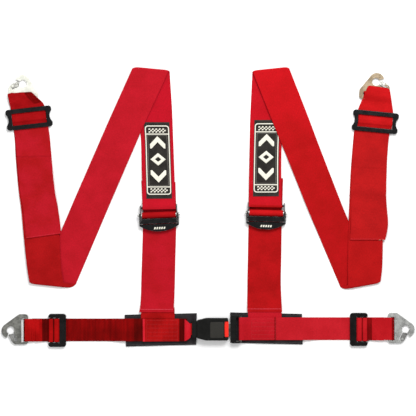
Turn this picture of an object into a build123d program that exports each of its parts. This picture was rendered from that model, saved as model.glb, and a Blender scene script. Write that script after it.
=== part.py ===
from build123d import *

# A four-point racing harness, laid flat with its shoulder straps folded.
# +X runs along the lap belt to the wearer's left end, +Y towards the shoulder hooks, +Z up.
# The origin is under the middle of the whole harness, on the surface it lies on.
# All lengths are millimetres and all angles degrees.

import math
import os

os.makedirs("parts", exist_ok=True)

# Webbing
WEB = 1.4  # thickness
SHOULDER_WIDTH = 75.0
LAP_WIDTH = 50.0
GAP = 0.2  # between layers of webbing that lie on each other
FLOOR_Z = 0.9  # middle of a layer that lies on the surface
SECOND_Z = FLOOR_Z + WEB + GAP  # middle of a layer that lies on that one
THIRD_Z = SECOND_Z + WEB + GAP
FOLD_RISE = 5.6  # from one layer's middle to the other's across a fold
FOLD_Z = FLOOR_Z + FOLD_RISE / 2
FOLD_QUARTER = 86  # a quarter of the bend, short of the hinge line by a little

# Comfort pads under the two lap and shoulder junctions
PAD_LENGTH = 158.0
PAD_WIDTH = 70.0
PAD_THICK = 3.0
SEWN_Z = PAD_THICK + 0.9  # shoulder strap's end, sewn on the pad
LAP_LOW_Z = SEWN_Z + WEB + GAP  # lap strap over it
LAP_HIGH_Z = LAP_LOW_Z + WEB + GAP  # and its return on top

# Buckle
BUCKLE_Y = -269.5
BUCKLE_BACK = -24.0
BUCKLE_FRONT = 44.5
BUCKLE_TOP = 19.0
BUCKLE_SPLIT = 8.7  # height of the joint between the two covers
BUCKLE_WIDE = 49.5
BUCKLE_NARROW = 41.0
NECK_BACK = -35.4
NECK_WIDE = 37.0
WALL = 1.8
FRAME_Z = 6.5  # underside of the steel base plate
PLATE = 2.0  # thickness of the base plate and of the tongue
TONGUE_Z = FRAME_Z + PLATE + 0.3  # underside of the tongue
BUTTON_WIDE = 34.5
BUTTON_TALL = 5.2  # low enough to slide in under the upper cover
TONGUE_HALF = 12.0
TONGUE_BAR = 72.0  # middle of the bar that the webbing goes round

# Snap hooks
HOOK_PLATE = 3.0
HOOK_Z = 3.4  # middle of the plate
HOLE_R = 8.5
BAR_NEAR = -32.0  # hook bar, along the hook's axis from its hole
BAR_FAR = -38.7
SLOT_NEAR = -24.0
SLOT_WIDE = 53.0
SHOULDER_LOOP = 50.0  # shoulder webbing, gathered to pass the slot
PIVOT = (-6.8, 22.6)  # gate rivet, from the hole
CHEEK = 1.0  # gate sheet thickness
CHEEK_GAP = 0.3

# Webbing slides
LAP_SLIDE_LONG = 39.0
LAP_SLIDE_WIDE = 72.6
LAP_SLIDE_AT = 331.6  # middle, from the origin along the lap belt
SHOULDER_SLIDE_LONG = 46.0
SHOULDER_SLIDE_WIDE = 101.0
LAP_INNER_BAR = 14.0  # width of the wide inner bar
LAP_MIDDLE_BAR = (18.6, 23.4)  # from the slide's inner edge
LAP_OUTER_BAR = (29.6, 35.4)
SHOULDER_WINDOW = 13.2  # half the opening between the outer bars
SHOULDER_BAR = 3.0  # half the middle bar

# Shoulder adjusters
ADJUSTER_FLANGE = 2.0
ADJUSTER_HALF = 39.0  # inner face of the frame's flanges
CAM_R = 4.6  # cam bar that grips the webbing
CAM_PIN_R = 2.55
CAM_AT = 6.8
CAM_Z = 8.6
TOP_ROD_R = 2.6
TOP_ROD_AT = 23.2
TOP_ROD_Z = 7.0

# Labels on the front of the shoulder straps
LABEL_WIDE = 56.0
LABEL_LONG = 170.0
LABEL_THICK = 0.6

# What differs between the two sides. Headings are anticlockwise from +X.
SIDES = {
    "left": dict(
        lap_heading=180.0,
        lap_y=-271.4,
        lap_slide_y=-272.4,
        lap_hook=(-434.3, -271.9),
        pad=(-103.9, -271.0),
        pad_tilt=1.4,
        pad_edge=184.5,
        shoulder_root=(-110.6, -246.0),
        lower_heading=89.3,
        adjuster=(-107.8, -25.3),
        front_heading=92.4,
        top_fold=(-123.3, 302.6, -8.0),
        diagonal_heading=247.0,
        v_fold=(-340.0, -174.0, -8.0),
        outer_foot=(-357.0, -176.0),
        slide=(-393.4, 194.3, 6.4),
        hook=(-406.6, 270.2, 86.0),
        tail_end=-64.0,
        label_from=43.0,
        face=1,
    ),
    "right": dict(
        lap_heading=0.0,
        lap_y=-268.7,
        lap_slide_y=-270.3,
        lap_hook=(434.3, -268.8),
        pad=(128.0, -268.0),
        pad_tilt=-1.4,
        pad_edge=208.5,
        shoulder_root=(124.4, -246.0),
        lower_heading=89.6,
        adjuster=(127.6, -20.9),
        front_heading=88.5,
        top_fold=(136.2, 302.6, 8.0),
        diagonal_heading=291.4,
        v_fold=(332.0, -174.0, 8.0),
        outer_foot=(341.2, -176.0),
        slide=(367.9, 186.2, -5.6),
        hook=(369.4, 273.9, 86.0),
        tail_end=-74.0,
        label_from=43.0,
        face=-1,
    ),
}


def save(piece, name):
    """Labels a finished piece and writes it as a part of its own."""
    piece.part.label = name
    export_step(piece.part, f"parts/{name}.step")


def along(point, heading, distance):
    """The point in plan that lies a distance away on a heading."""
    turn = math.radians(heading)
    return (point[0] + distance * math.cos(turn), point[1] + distance * math.sin(turn))


def upright(point, heading):
    """A vertical plane: its x runs along the heading and its y is height."""
    turn = math.radians(heading)
    return Plane(
        origin=(point[0], point[1], 0),
        x_dir=(math.cos(turn), math.sin(turn), 0),
        z_dir=(math.sin(turn), -math.cos(turn), 0),
    )


def flat(point, heading, z, face=1):
    """A level plane: its x runs along the heading. A face of -1 turns it over."""
    turn = math.radians(heading)
    return Plane(
        origin=(point[0], point[1], z),
        x_dir=(math.cos(turn), math.sin(turn), 0),
        z_dir=(0, 0, face),
    )


def webbing(path, width, place):
    """Adds webbing to the part being built: path is its side view, on an upright plane."""
    with BuildSketch(place) as side_view:
        with BuildLine():
            Polyline(*path)
        trace(line_width=WEB)
    extrude(side_view.sketch, amount=width / 2, both=True)


def fold_lip(fold, outwards, first_angle):
    """Adds a quarter of a fold's round bend, from first_angle, on the side it bulges to."""
    x, y, slant = fold
    radius = FOLD_RISE / 2
    with BuildSketch(upright((x, y), outwards + slant)) as bend:
        with BuildLine():
            CenterArc((-radius - WEB / 2, FOLD_Z), radius, first_angle, FOLD_QUARTER)
        trace(line_width=WEB)
    extrude(bend.sketch, amount=SHOULDER_WIDTH / 2, both=True)


def fold_cut(fold, side_step):
    """Upright plane where a strap's flat run meets its bend."""
    inset = FOLD_RISE / 2 + WEB / 2 - 0.1
    return upright(fold[:2], fold[2]).offset(side_step * inset)


# ---------------------------------------------------------------- buckle


def cover_outline():
    """The buckle seen from above: a body that widens to the front and a narrower neck."""
    neck, rear, front = NECK_WIDE / 2, BUCKLE_NARROW / 2, BUCKLE_WIDE / 2
    with BuildLine() as outline:
        Polyline(
            (NECK_BACK, -neck),
            (BUCKLE_BACK, -neck),
            (BUCKLE_BACK + 2, -rear),
            (-4, -front),
            (BUCKLE_FRONT, -front),
            (BUCKLE_FRONT, front),
            (-4, front),
            (BUCKLE_BACK + 2, rear),
            (BUCKLE_BACK, neck),
            (NECK_BACK, neck),
            close=True,
        )
    make_face(outline.edges())


def buckle_plane(z):
    return Plane(origin=(0, BUCKLE_Y, z), x_dir=(1, 0, 0), z_dir=(0, 0, 1))


def stretch(start, end, width):
    """Adds a rectangle between two places along the buckle."""
    with Locations(((start + end) / 2, 0)):
        Rectangle(end - start, width)


def lower_cover():
    """Tray under the mechanism, open on top, with a raised floor in the neck."""
    with BuildPart() as cover:
        with BuildSketch(buckle_plane(0.4)):
            cover_outline()
            fillet([v for v in vertices() if v.X > BUCKLE_FRONT - 1], 4)
        extrude(amount=BUCKLE_SPLIT - 0.4)
        with BuildSketch(buckle_plane(0.4)):
            with Locations((NECK_BACK + 5, 0)):
                Rectangle(15, NECK_WIDE + 1)
        extrude(amount=2.8, mode=Mode.SUBTRACT)
        with BuildSketch(buckle_plane(2.2)):
            stretch(BUCKLE_BACK + 4, BUCKLE_FRONT - WALL, BUCKLE_NARROW - 2 * WALL)
        extrude(amount=BUCKLE_SPLIT, mode=Mode.SUBTRACT)
        with BuildSketch(buckle_plane(4.6)):
            stretch(NECK_BACK - 1, BUCKLE_BACK + 6, NECK_WIDE - 2 * WALL)
        extrude(amount=BUCKLE_SPLIT, mode=Mode.SUBTRACT)
        with BuildSketch(buckle_plane(TONGUE_Z - 0.3)):
            with Locations((BUCKLE_FRONT, 0)):
                Rectangle(12, 2 * TONGUE_HALF + 3)
        extrude(amount=BUCKLE_SPLIT, mode=Mode.SUBTRACT)
    save(cover, "buckle_lower_cover")


def upper_cover():
    """Shell over the mechanism, open at the front for the button and the tongue."""
    cavity_top = BUCKLE_TOP - WALL
    with BuildPart() as cover:
        with BuildSketch(buckle_plane(BUCKLE_SPLIT)):
            cover_outline()
            fillet([v for v in vertices() if v.X > BUCKLE_FRONT - 1], 4)
        extrude(amount=BUCKLE_TOP - BUCKLE_SPLIT)
        with BuildSketch(buckle_plane(12.2)):
            with Locations((NECK_BACK + 5, 0)):
                Rectangle(13, NECK_WIDE + 1)
        extrude(amount=BUCKLE_TOP, mode=Mode.SUBTRACT)
        top_edges = cover.faces().sort_by(Axis.Z)[-1].edges()
        fillet(top_edges, 2.5)
        with BuildSketch(buckle_plane(BUCKLE_SPLIT)):
            stretch(BUCKLE_BACK + 4, BUCKLE_FRONT - WALL, BUCKLE_NARROW - 2 * WALL)
        extrude(amount=cavity_top - BUCKLE_SPLIT, mode=Mode.SUBTRACT)
        with BuildSketch(buckle_plane(BUCKLE_SPLIT)):
            stretch(NECK_BACK - 1, BUCKLE_BACK + 6, NECK_WIDE - 2 * WALL)
        extrude(amount=2.0, mode=Mode.SUBTRACT)
        with BuildSketch(buckle_plane(BUCKLE_SPLIT)):
            stretch(36.0, BUCKLE_FRONT + 2, BUTTON_WIDE + 0.8)
        extrude(amount=BUCKLE_TOP, mode=Mode.SUBTRACT)
    save(cover, "buckle_upper_cover")


def base_plate():
    """Steel plate that carries the load from the webbing bar to the latch."""
    with BuildPart() as plate:
        with BuildSketch(buckle_plane(FRAME_Z)):
            with Locations((5, 0)):
                Rectangle(66, 32)
            with Locations((-21, 0)):
                Rectangle(6, 27, mode=Mode.SUBTRACT)
            with Locations((6, 0)):
                Rectangle(10, 14, mode=Mode.SUBTRACT)
            with Locations((28, 11), (28, -11), (-6, 11), (-6, -11)):
                Circle(1.9, mode=Mode.SUBTRACT)
        extrude(amount=PLATE)
        # seat of the ejector's spring
        with BuildSketch(buckle_plane(FRAME_Z + PLATE)):
            with Locations((-10.6, -8)):
                Rectangle(1.8, 4)
        extrude(amount=2.8)
    save(plate, "buckle_base_plate")


def anchor_loop():
    """End of the lap webbing, gathered and looped round the base plate's bar."""
    bar_far, bar_near = -28.0, -24.0
    low, high = FRAME_Z - 1.0, FRAME_Z + PLATE + 1.0
    with BuildPart() as loop:
        webbing(
            [
                (-37.0, low),
                (bar_near + 1.1, low),
                (bar_near + 1.1, high),
                (-37.0, high),
            ],
            26.0,
            upright((0, BUCKLE_Y), 0),
        )
    save(loop, "buckle_webbing_loop")


def rivets():
    """Four rivets that hold the base plate to the lower cover."""
    with BuildPart() as group:
        with BuildSketch(buckle_plane(2.2)):
            with Locations((28, 11), (28, -11), (-6, 11), (-6, -11)):
                Circle(1.85)
        extrude(amount=FRAME_Z + PLATE - 2.2)
    save(group, "buckle_rivets")


def release_button():
    """Red push button across the front of the buckle, with a ramp arm behind it."""
    with BuildPart() as button:
        with BuildSketch(buckle_plane(11.6)):
            with Locations((40.8, 0)):
                RectangleRounded(8.6, BUTTON_WIDE, 1.5)
        extrude(amount=BUTTON_TALL)
        fillet(button.faces().sort_by(Axis.Z)[-1].edges(), 1.2)
        with BuildSketch(buckle_plane(12.2)):
            with Locations((30.5, 0)):
                Rectangle(13, 22)
        extrude(amount=3.4)
        with BuildSketch(buckle_plane(12.2)):
            with Locations((21, 9), (21, -9)):
                Rectangle(10, 4)
        extrude(amount=3.4)
        with BuildSketch(upright((0, BUCKLE_Y), 0)):
            with BuildLine():
                Polyline((24.5, 11.2), (31, 11.2), (31, 13.8), (28, 13.8), close=True)
            make_face()
        extrude(amount=5, both=True)
    save(button, "release_button")


def latch_leaf():
    """Spring steel leaf with a tooth that drops into the tongue's window."""
    with BuildPart() as leaf:
        with BuildSketch(upright((0, BUCKLE_Y), 0)):
            with BuildLine():
                Polyline(
                    (-12, FRAME_Z + PLATE),
                    (-9, FRAME_Z + PLATE),
                    (-9, 12.4),
                    (11.5, 12.4),
                    (11.5, 9.0),
                    (14.5, 9.0),
                    (14.5, 12.4),
                    (24, 12.4),
                    (24, 13.4),
                    (-12, 13.4),
                    close=True,
                )
            make_face()
        extrude(amount=5.5, both=True)
    save(leaf, "latch_leaf")


def spring(name, start, end, y, z, radius):
    """A small closed coil spring, as a tube of its outer size."""
    with BuildPart() as coil:
        with BuildSketch(Plane(origin=(start, y, z), x_dir=(0, 1, 0), z_dir=(1, 0, 0))):
            Circle(radius)
            Circle(radius - 0.7, mode=Mode.SUBTRACT)
        extrude(amount=end - start)
    save(coil, name)


def button_springs():
    """Two coil springs behind the button's arms."""
    with BuildPart() as pair:
        for y in (BUCKLE_Y - 9, BUCKLE_Y + 9):
            with BuildSketch(Plane(origin=(-2.5, y, 13.9), x_dir=(0, 1, 0), z_dir=(1, 0, 0))):
                Circle(1.7)
                Circle(1.1, mode=Mode.SUBTRACT)
            extrude(amount=18.2)
        with BuildSketch(buckle_plane(11.8)):
            with Locations((-4, 9), (-4, -9)):
                Rectangle(2.6, 4.2)
        extrude(amount=5.0)
    save(pair, "button_springs")


def ejector():
    """Slider that pushes the tongue out, and its spring in a tunnel behind it."""
    with BuildPart() as slider:
        with BuildSketch(buckle_plane(TONGUE_Z)):
            with Locations((-1.5, 0)):
                Rectangle(4, 20)
        extrude(amount=2.0)
    save(slider, "ejector")
    spring("ejector_spring", -9.5, -3.7, BUCKLE_Y - 8, TONGUE_Z + 1.3, 1.2)


def tongue():
    """Steel tongue and its moulded black frame with the webbing slot."""
    with BuildPart() as plate:
        with BuildSketch(buckle_plane(TONGUE_Z)):
            with Locations((27, 0)):
                RectangleRounded(52, 2 * TONGUE_HALF, 4)
            with Locations((61.5, 0)):
                RectangleRounded(25, 58, 1.5)
            with Locations((13, 0)):
                RectangleRounded(7, 12, 1, mode=Mode.SUBTRACT)
            with Locations((66, 0)):
                RectangleRounded(8, 52.5, 1, mode=Mode.SUBTRACT)
        extrude(amount=PLATE)
    save(plate, "tongue_plate")
    with BuildPart() as frame:
        with BuildSketch(buckle_plane(TONGUE_Z - 3.2)):
            with Locations((60.6, 0)):
                RectangleRounded(22, 62, 4)
            with Locations((66.8, 0)):
                Rectangle(9.8, 53.5, mode=Mode.SUBTRACT)
        extrude(amount=PLATE + 6.4)
        fillet(frame.faces().sort_by(Axis.Z)[-1].edges(), 1.2)
        # pocket that the steel plate is moulded into
        with BuildSketch(buckle_plane(TONGUE_Z)):
            stretch(49, 74, 58)
        extrude(amount=PLATE, mode=Mode.SUBTRACT)
    save(frame, "tongue_frame")


# ---------------------------------------------------------------- lap belt


def lap_plane(side, distance=0.0):
    """Upright plane along the lap belt; distance is measured outwards from the middle."""
    x = -distance if side["lap_heading"] else distance
    return upright((x, side["lap_y"]), side["lap_heading"])


def pad(name, side):
    with BuildPart() as cushion:
        with BuildSketch(flat(side["pad"], side["pad_tilt"], 0)):
            RectangleRounded(PAD_LENGTH, PAD_WIDTH, 3)
        extrude(amount=PAD_THICK)
    save(cushion, f"{name}_junction_pad")


def sewn_junction(name, side):
    """Inner lap webbing with its return and the shoulder strap's end, sewn as one."""
    edge = side["pad_edge"]
    root_x, root_y = side["shoulder_root"]
    if name == "left":
        start, step, return_end = 38.2, 46.0, 142.0
    else:
        near, step, return_end = TONGUE_BAR - 3.4, 90.0, 148.0
        middle = TONGUE_Z + PLATE / 2
        low, high = middle - 3.4, middle + 3.4
    with BuildPart() as sewn:
        if name == "left":
            webbing(
                [
                    (start, FRAME_Z - 1.0),
                    (step, FRAME_Z - 1.0),
                    (step + 8, LAP_LOW_Z),
                    (edge, LAP_LOW_Z),
                ],
                LAP_WIDTH,
                lap_plane(side),
            )
            webbing(
                [
                    (start, FRAME_Z + PLATE + 1.0),
                    (step, FRAME_Z + PLATE + 1.0),
                    (step + 8, LAP_HIGH_Z),
                    (return_end, LAP_HIGH_Z),
                ],
                LAP_WIDTH,
                lap_plane(side),
            )
            with BuildSketch(flat((0, side["lap_y"]), 0, 0)):
                for flip in (1, -1):
                    with BuildLine():
                        Polyline(
                            (-start + 1, flip * 13),
                            (-step, flip * 13),
                            (-step - 14, flip * LAP_WIDTH / 2),
                            (-step - 14, flip * 40),
                            (-start + 1, flip * 40),
                            close=True,
                        )
                    make_face()
            extrude(amount=20, mode=Mode.SUBTRACT)
        else:
            webbing(
                [
                    (return_end, LAP_HIGH_Z),
                    (step, LAP_HIGH_Z),
                    (TONGUE_BAR + 4, high),
                    (near, high),
                    (near, low),
                    (TONGUE_BAR + 4, low),
                    (step, LAP_LOW_Z),
                    (edge, LAP_LOW_Z),
                ],
                LAP_WIDTH,
                lap_plane(side),
            )
        with BuildSketch(flat((root_x, root_y), 90, SEWN_Z - WEB / 2)):
            with Locations((-24, 0)):
                Rectangle(47.4, SHOULDER_WIDTH)
        extrude(amount=WEB)
        # rows of stitching that join the layers
        with BuildSketch(flat((root_x, side["lap_y"]), 0, SEWN_Z)):
            with GridLocations(60, 36, 2, 2):
                Rectangle(6, 1)
            with GridLocations(30, 30, 2, 2):
                Rectangle(1, 4)
        extrude(amount=LAP_LOW_Z - SEWN_Z)
        with BuildSketch(flat((root_x, side["lap_y"]), 0, LAP_LOW_Z)):
            with GridLocations(20, 36, 2, 2):
                Rectangle(6, 1)
        extrude(amount=LAP_HIGH_Z - LAP_LOW_Z)
    save(sewn, f"{name}_sewn_junction")


def lap_strap(name, side):
    """Outer lap webbing: through the slide, round the hook's bar and back over the slide."""
    start = side["pad_edge"] + 0.6
    inner = LAP_SLIDE_AT - LAP_SLIDE_LONG / 2
    middle = (inner + LAP_MIDDLE_BAR[0] - 1, inner + LAP_MIDDLE_BAR[1] + 1)
    outer = (inner + LAP_OUTER_BAR[0] - 1, inner + LAP_OUTER_BAR[1] + 1)
    hole = abs(side["lap_hook"][0])
    loop = hole + BAR_NEAR + 1.1
    with BuildPart() as strap:
        webbing(
            [
                (start, LAP_LOW_Z),
                (start + 6, LAP_LOW_Z),
                (start + 34, FLOOR_Z),
                (middle[0] - 3.2, FLOOR_Z),
                (middle[0], 5.5),
                (middle[1], 5.5),
                (middle[1] + 3.2, FLOOR_Z),
                (loop, FLOOR_Z),
                (loop, HOOK_Z + 2.5),
                (loop - 11, HOOK_Z + 2.5),
                (loop - 18, SECOND_Z),
                (outer[1] + 3.4, SECOND_Z),
                (outer[1], 6.6),
                (outer[0], 6.6),
                (outer[0] - 2.6, 5.6),
            ],
            LAP_WIDTH,
            lap_plane(side),
        )
    save(strap, f"{name}_lap_strap")


def lap_slide(name, side):
    """Moulded three-bar slide: a wide inner bar, a low middle bar and a low outer bar."""
    sign = -1 if side["lap_heading"] else 1
    wide = LAP_SLIDE_WIDE
    place = flat((sign * LAP_SLIDE_AT, side["lap_slide_y"]), side["lap_heading"], 0)
    inner = -LAP_SLIDE_LONG / 2
    with BuildPart() as slide:
        with BuildSketch(place.offset(0.2)):
            RectangleRounded(LAP_SLIDE_LONG, wide, 6)
            Rectangle(LAP_SLIDE_LONG + 1, LAP_WIDTH + 6, mode=Mode.SUBTRACT)
        extrude(amount=6.4)
        with BuildSketch(place.offset(2.0)):
            for start, end in (LAP_MIDDLE_BAR, LAP_OUTER_BAR):
                with Locations((inner + (start + end) / 2, 0)):
                    Rectangle(end - start, LAP_WIDTH + 7)
        extrude(amount=2.6)
        with BuildSketch(place.offset(2.0)):
            with Locations((inner + LAP_INNER_BAR / 2, 0)):
                Rectangle(LAP_INNER_BAR, LAP_WIDTH + 7)
        extrude(amount=4.6)
        with BuildSketch(place.offset(6.6)):
            with Locations((inner + 5, 0)):
                Rectangle(3, LAP_WIDTH + 4)
        extrude(amount=0.8)
        fillet(slide.edges().filter_by(Axis.Z).group_by(SortBy.LENGTH)[-1], 1.0)
    save(slide, f"{name}_lap_slide")


# ---------------------------------------------------------------- snap hooks


def snap_hook(name, centre, heading, face):
    """Hook plate, sprung gate, rivet and gate spring. Turning it over swaps the mouth's side."""
    place = flat(centre, heading, HOOK_Z, face)
    nose, nose_r = (3.5, 1.5), 16.3
    with BuildPart() as plate:
        with BuildSketch(place) as outline:
            with BuildLine():
                Polyline(
                    (BAR_FAR, -35.0),
                    (-19.0, -35.0),
                    (13.3, -11.6),
                    (17, 2),
                    (11.2, 15.8),
                    (0.0, 21.5),
                    (-9.0, 31.2),
                    (BAR_FAR, 31.2),
                    close=True,
                )
            make_face()
            fillet([v for v in outline.vertices() if v.X < -5], 6.5)
            with Locations(nose):
                Circle(nose_r)
            Circle(HOLE_R, mode=Mode.SUBTRACT)
            with Locations(((SLOT_NEAR + BAR_NEAR) / 2, 0)):
                RectangleRounded(SLOT_NEAR - BAR_NEAR, SLOT_WIDE, 2, mode=Mode.SUBTRACT)
            with BuildLine():
                Polyline(
                    (4.6, 7.1),
                    (8.4, 16.6),
                    (10.0, 24.0),
                    (1.5, 24.0),
                    (-3.0, 18.2),
                    (-8.4, 17.4),
                    (-11.6, 24.6),
                    (-15.4, 23.0),
                    (-6.6, 5.3),
                    (-3, 2),
                    close=True,
                )
            make_face(mode=Mode.SUBTRACT)
            with Locations(PIVOT):
                Circle(1.6, mode=Mode.SUBTRACT)
        extrude(amount=HOOK_PLATE / 2, both=True)
    save(plate, f"{name}_hook_plate")

    inside = HOOK_PLATE / 2 + CHEEK_GAP
    with BuildPart() as gate:
        with BuildSketch(place) as cheek:
            with BuildLine():
                Polyline(
                    (4.6, 9.6),
                    (-5.2, 8.0),
                    (-11.4, 20.5),
                    (-9.8, 26.2),
                    (-4.0, 26.6),
                    (0.2, 18.5),
                    close=True,
                )
            make_face()
            fillet(cheek.vertices(), 1.2)
            with Locations(PIVOT):
                Circle(1.6, mode=Mode.SUBTRACT)
        extrude(amount=inside + CHEEK, both=True)
        with BuildSketch(place):
            Rectangle(90, 90)
        extrude(amount=inside, both=True, mode=Mode.SUBTRACT)
        with BuildSketch(place):
            with BuildLine():
                Polyline((4.0, 10.2), (2.0, 14.2), (0.6, 16.6))
            trace(line_width=CHEEK)
        extrude(amount=inside, both=True)
    save(gate, f"{name}_hook_gate")

    with BuildPart() as rivet:
        with BuildSketch(place):
            with Locations(PIVOT):
                Circle(1.55)
        extrude(amount=inside + CHEEK, both=True)
        with BuildSketch(place.offset(inside + CHEEK), place.offset(-inside - CHEEK - 0.5)):
            with Locations(PIVOT):
                Circle(2.6)
        extrude(amount=0.5)
    save(rivet, f"{name}_hook_rivet")

    with BuildPart() as leaf:
        with BuildSketch(place):
            with BuildLine():
                Polyline((-10.3, 19.4), (-6.4, 12.6), (0.6, 14.2))
            trace(line_width=0.4)
        extrude(amount=1.2, both=True)
    save(leaf, f"{name}_hook_spring")


# ---------------------------------------------------------------- shoulder straps


def lower_shoulder(name, side):
    """From the junction up under the adjuster, with its free end behind the front strap."""
    length = 300.0
    with BuildPart() as strap:
        webbing(
            [(0.6, SEWN_Z), (16, SEWN_Z), (44, FLOOR_Z), (length, FLOOR_Z)],
            SHOULDER_WIDTH,
            upright(side["shoulder_root"], side["lower_heading"]),
        )
    save(strap, f"{name}_shoulder_lower_strap")


def adjuster(name, side):
    """Frame with two flanges, a webbing rod and a front bar; a cam bar; a release lever."""
    place = flat(side["adjuster"], side["front_heading"], 0)
    flange = upright(side["adjuster"], side["front_heading"])
    with BuildPart() as frame:
        for half in (ADJUSTER_HALF, -ADJUSTER_HALF - ADJUSTER_FLANGE):
            with BuildSketch(flange.offset(half)):
                with BuildLine():
                    FilletPolyline(
                        (-12.5, 2.0),
                        (29.0, 2.0),
                        (29.0, 9.0),
                        (14.0, 13.5),
                        (-12.5, 13.5),
                        radius=2.0,
                        close=True,
                    )
                make_face()
                with Locations((CAM_AT, CAM_Z)):
                    Circle(CAM_PIN_R + 0.05, mode=Mode.SUBTRACT)
            extrude(amount=ADJUSTER_FLANGE)
        with BuildSketch(flange):
            with Locations((TOP_ROD_AT, TOP_ROD_Z)):
                Circle(TOP_ROD_R)
        extrude(amount=ADJUSTER_HALF + 0.5, both=True)
        with BuildSketch(place.offset(9.6)):
            with Locations((-6.4, 0)):
                Rectangle(10.6, 2 * ADJUSTER_HALF + 1)
        extrude(amount=3.0)
    save(frame, f"{name}_adjuster_frame")

    with BuildPart() as bar:
        with BuildSketch(flange):
            with Locations((CAM_AT, CAM_Z)):
                Circle(CAM_R)
        extrude(amount=ADJUSTER_HALF - 0.4, both=True)
        with BuildSketch(flange):
            with Locations((CAM_AT, CAM_Z)):
                Circle(CAM_PIN_R)
        extrude(amount=ADJUSTER_HALF + 7.6, both=True)
    save(bar, f"{name}_adjuster_cam_bar")

    outer = ADJUSTER_HALF + ADJUSTER_FLANGE + 0.4
    with BuildPart() as lever:
        for half in (outer, -outer - ADJUSTER_FLANGE):
            with BuildSketch(flange.offset(half)):
                with BuildLine():
                    FilletPolyline(
                        (-16.5, 4.5),
                        (4.0, 4.5),
                        (11.0, 6.5),
                        (10.0, 12.0),
                        (-16.5, 12.0),
                        radius=1.5,
                        close=True,
                    )
                make_face()
                with Locations((CAM_AT, CAM_Z)):
                    Circle(CAM_PIN_R + 0.05, mode=Mode.SUBTRACT)
            extrude(amount=ADJUSTER_FLANGE)
        with BuildSketch(place.offset(8.0)):
            with BuildLine():
                chord = outer + ADJUSTER_FLANGE
                Line((-16.5, -chord), (-13.2, -chord))
                Line((-13.2, -chord), (-13.2, chord))
                Line((-13.2, chord), (-16.5, chord))
                ThreePointArc((-16.5, chord), (-29.5, 0), (-16.5, -chord))
            make_face()
        extrude(amount=1.5)
    save(lever, f"{name}_adjuster_lever")


def front_strap(name, side):
    """Up the wearer's chest to the top fold; its lower end is sewn round the adjuster's rod."""
    start = side["adjuster"]
    reach = math.dist(start, side["top_fold"][:2])
    low, high = TOP_ROD_Z - TOP_ROD_R - 1.0, TOP_ROD_Z + TOP_ROD_R + 1.0
    near = TOP_ROD_AT - TOP_ROD_R - 1.0
    with BuildPart() as strap:
        webbing(
            [
                (82, SECOND_Z),
                (34, SECOND_Z),
                (TOP_ROD_AT + 2, low),
                (near, low),
                (near, high),
                (TOP_ROD_AT + 2, high),
                (36, THIRD_Z),
                (86, THIRD_Z),
                (150, FLOOR_Z),
                (reach + 12, FLOOR_Z),
            ],
            SHOULDER_WIDTH,
            upright(start, side["front_heading"]),
        )
        # the sewn end of the loop
        with BuildSketch(flat(along(start, side["front_heading"], 70), side["front_heading"], SECOND_Z)):
            Rectangle(4, 60)
        extrude(amount=THIRD_Z - SECOND_Z)
        split(bisect_by=fold_cut(side["top_fold"], 1), keep=Keep.TOP)
        fold_lip(side["top_fold"], 90, -90)
    save(strap, f"{name}_shoulder_front_strap")


def label(name, side):
    middle = side["label_from"] + LABEL_LONG / 2
    heading = side["front_heading"]
    start = side["label_from"]
    step = LABEL_THICK / 2 + WEB / 2 + 0.05
    with BuildPart() as patch:
        with BuildSketch(upright(side["adjuster"], heading)):
            with BuildLine():
                Polyline(
                    (start, THIRD_Z + step),
                    (86, THIRD_Z + step),
                    (150, FLOOR_Z + step),
                    (start + LABEL_LONG, FLOOR_Z + step),
                )
            trace(line_width=LABEL_THICK)
        extrude(amount=LABEL_WIDE / 2, both=True)
    save(patch, f"{name}_label_patch")


def diagonal_strap(name, side):
    """From the top fold down to the V fold, over the front strap."""
    top, foot = side["top_fold"], side["v_fold"]
    heading = side["diagonal_heading"]
    drop = math.dist(top[:2], foot[:2])
    high = FLOOR_Z + FOLD_RISE
    with BuildPart() as strap:
        webbing(
            [(-15, high), (2.0, high), (drop + 15, FLOOR_Z)],
            SHOULDER_WIDTH,
            upright(top[:2], heading),
        )
        split(bisect_by=fold_cut(top, 1), keep=Keep.TOP)
        split(bisect_by=fold_cut(foot, -1), keep=Keep.BOTTOM)
        fold_lip(top, 90, 90 - FOLD_QUARTER)
        fold_lip(foot, 270, -90)
    save(strap, f"{name}_shoulder_diagonal_strap")


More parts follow.
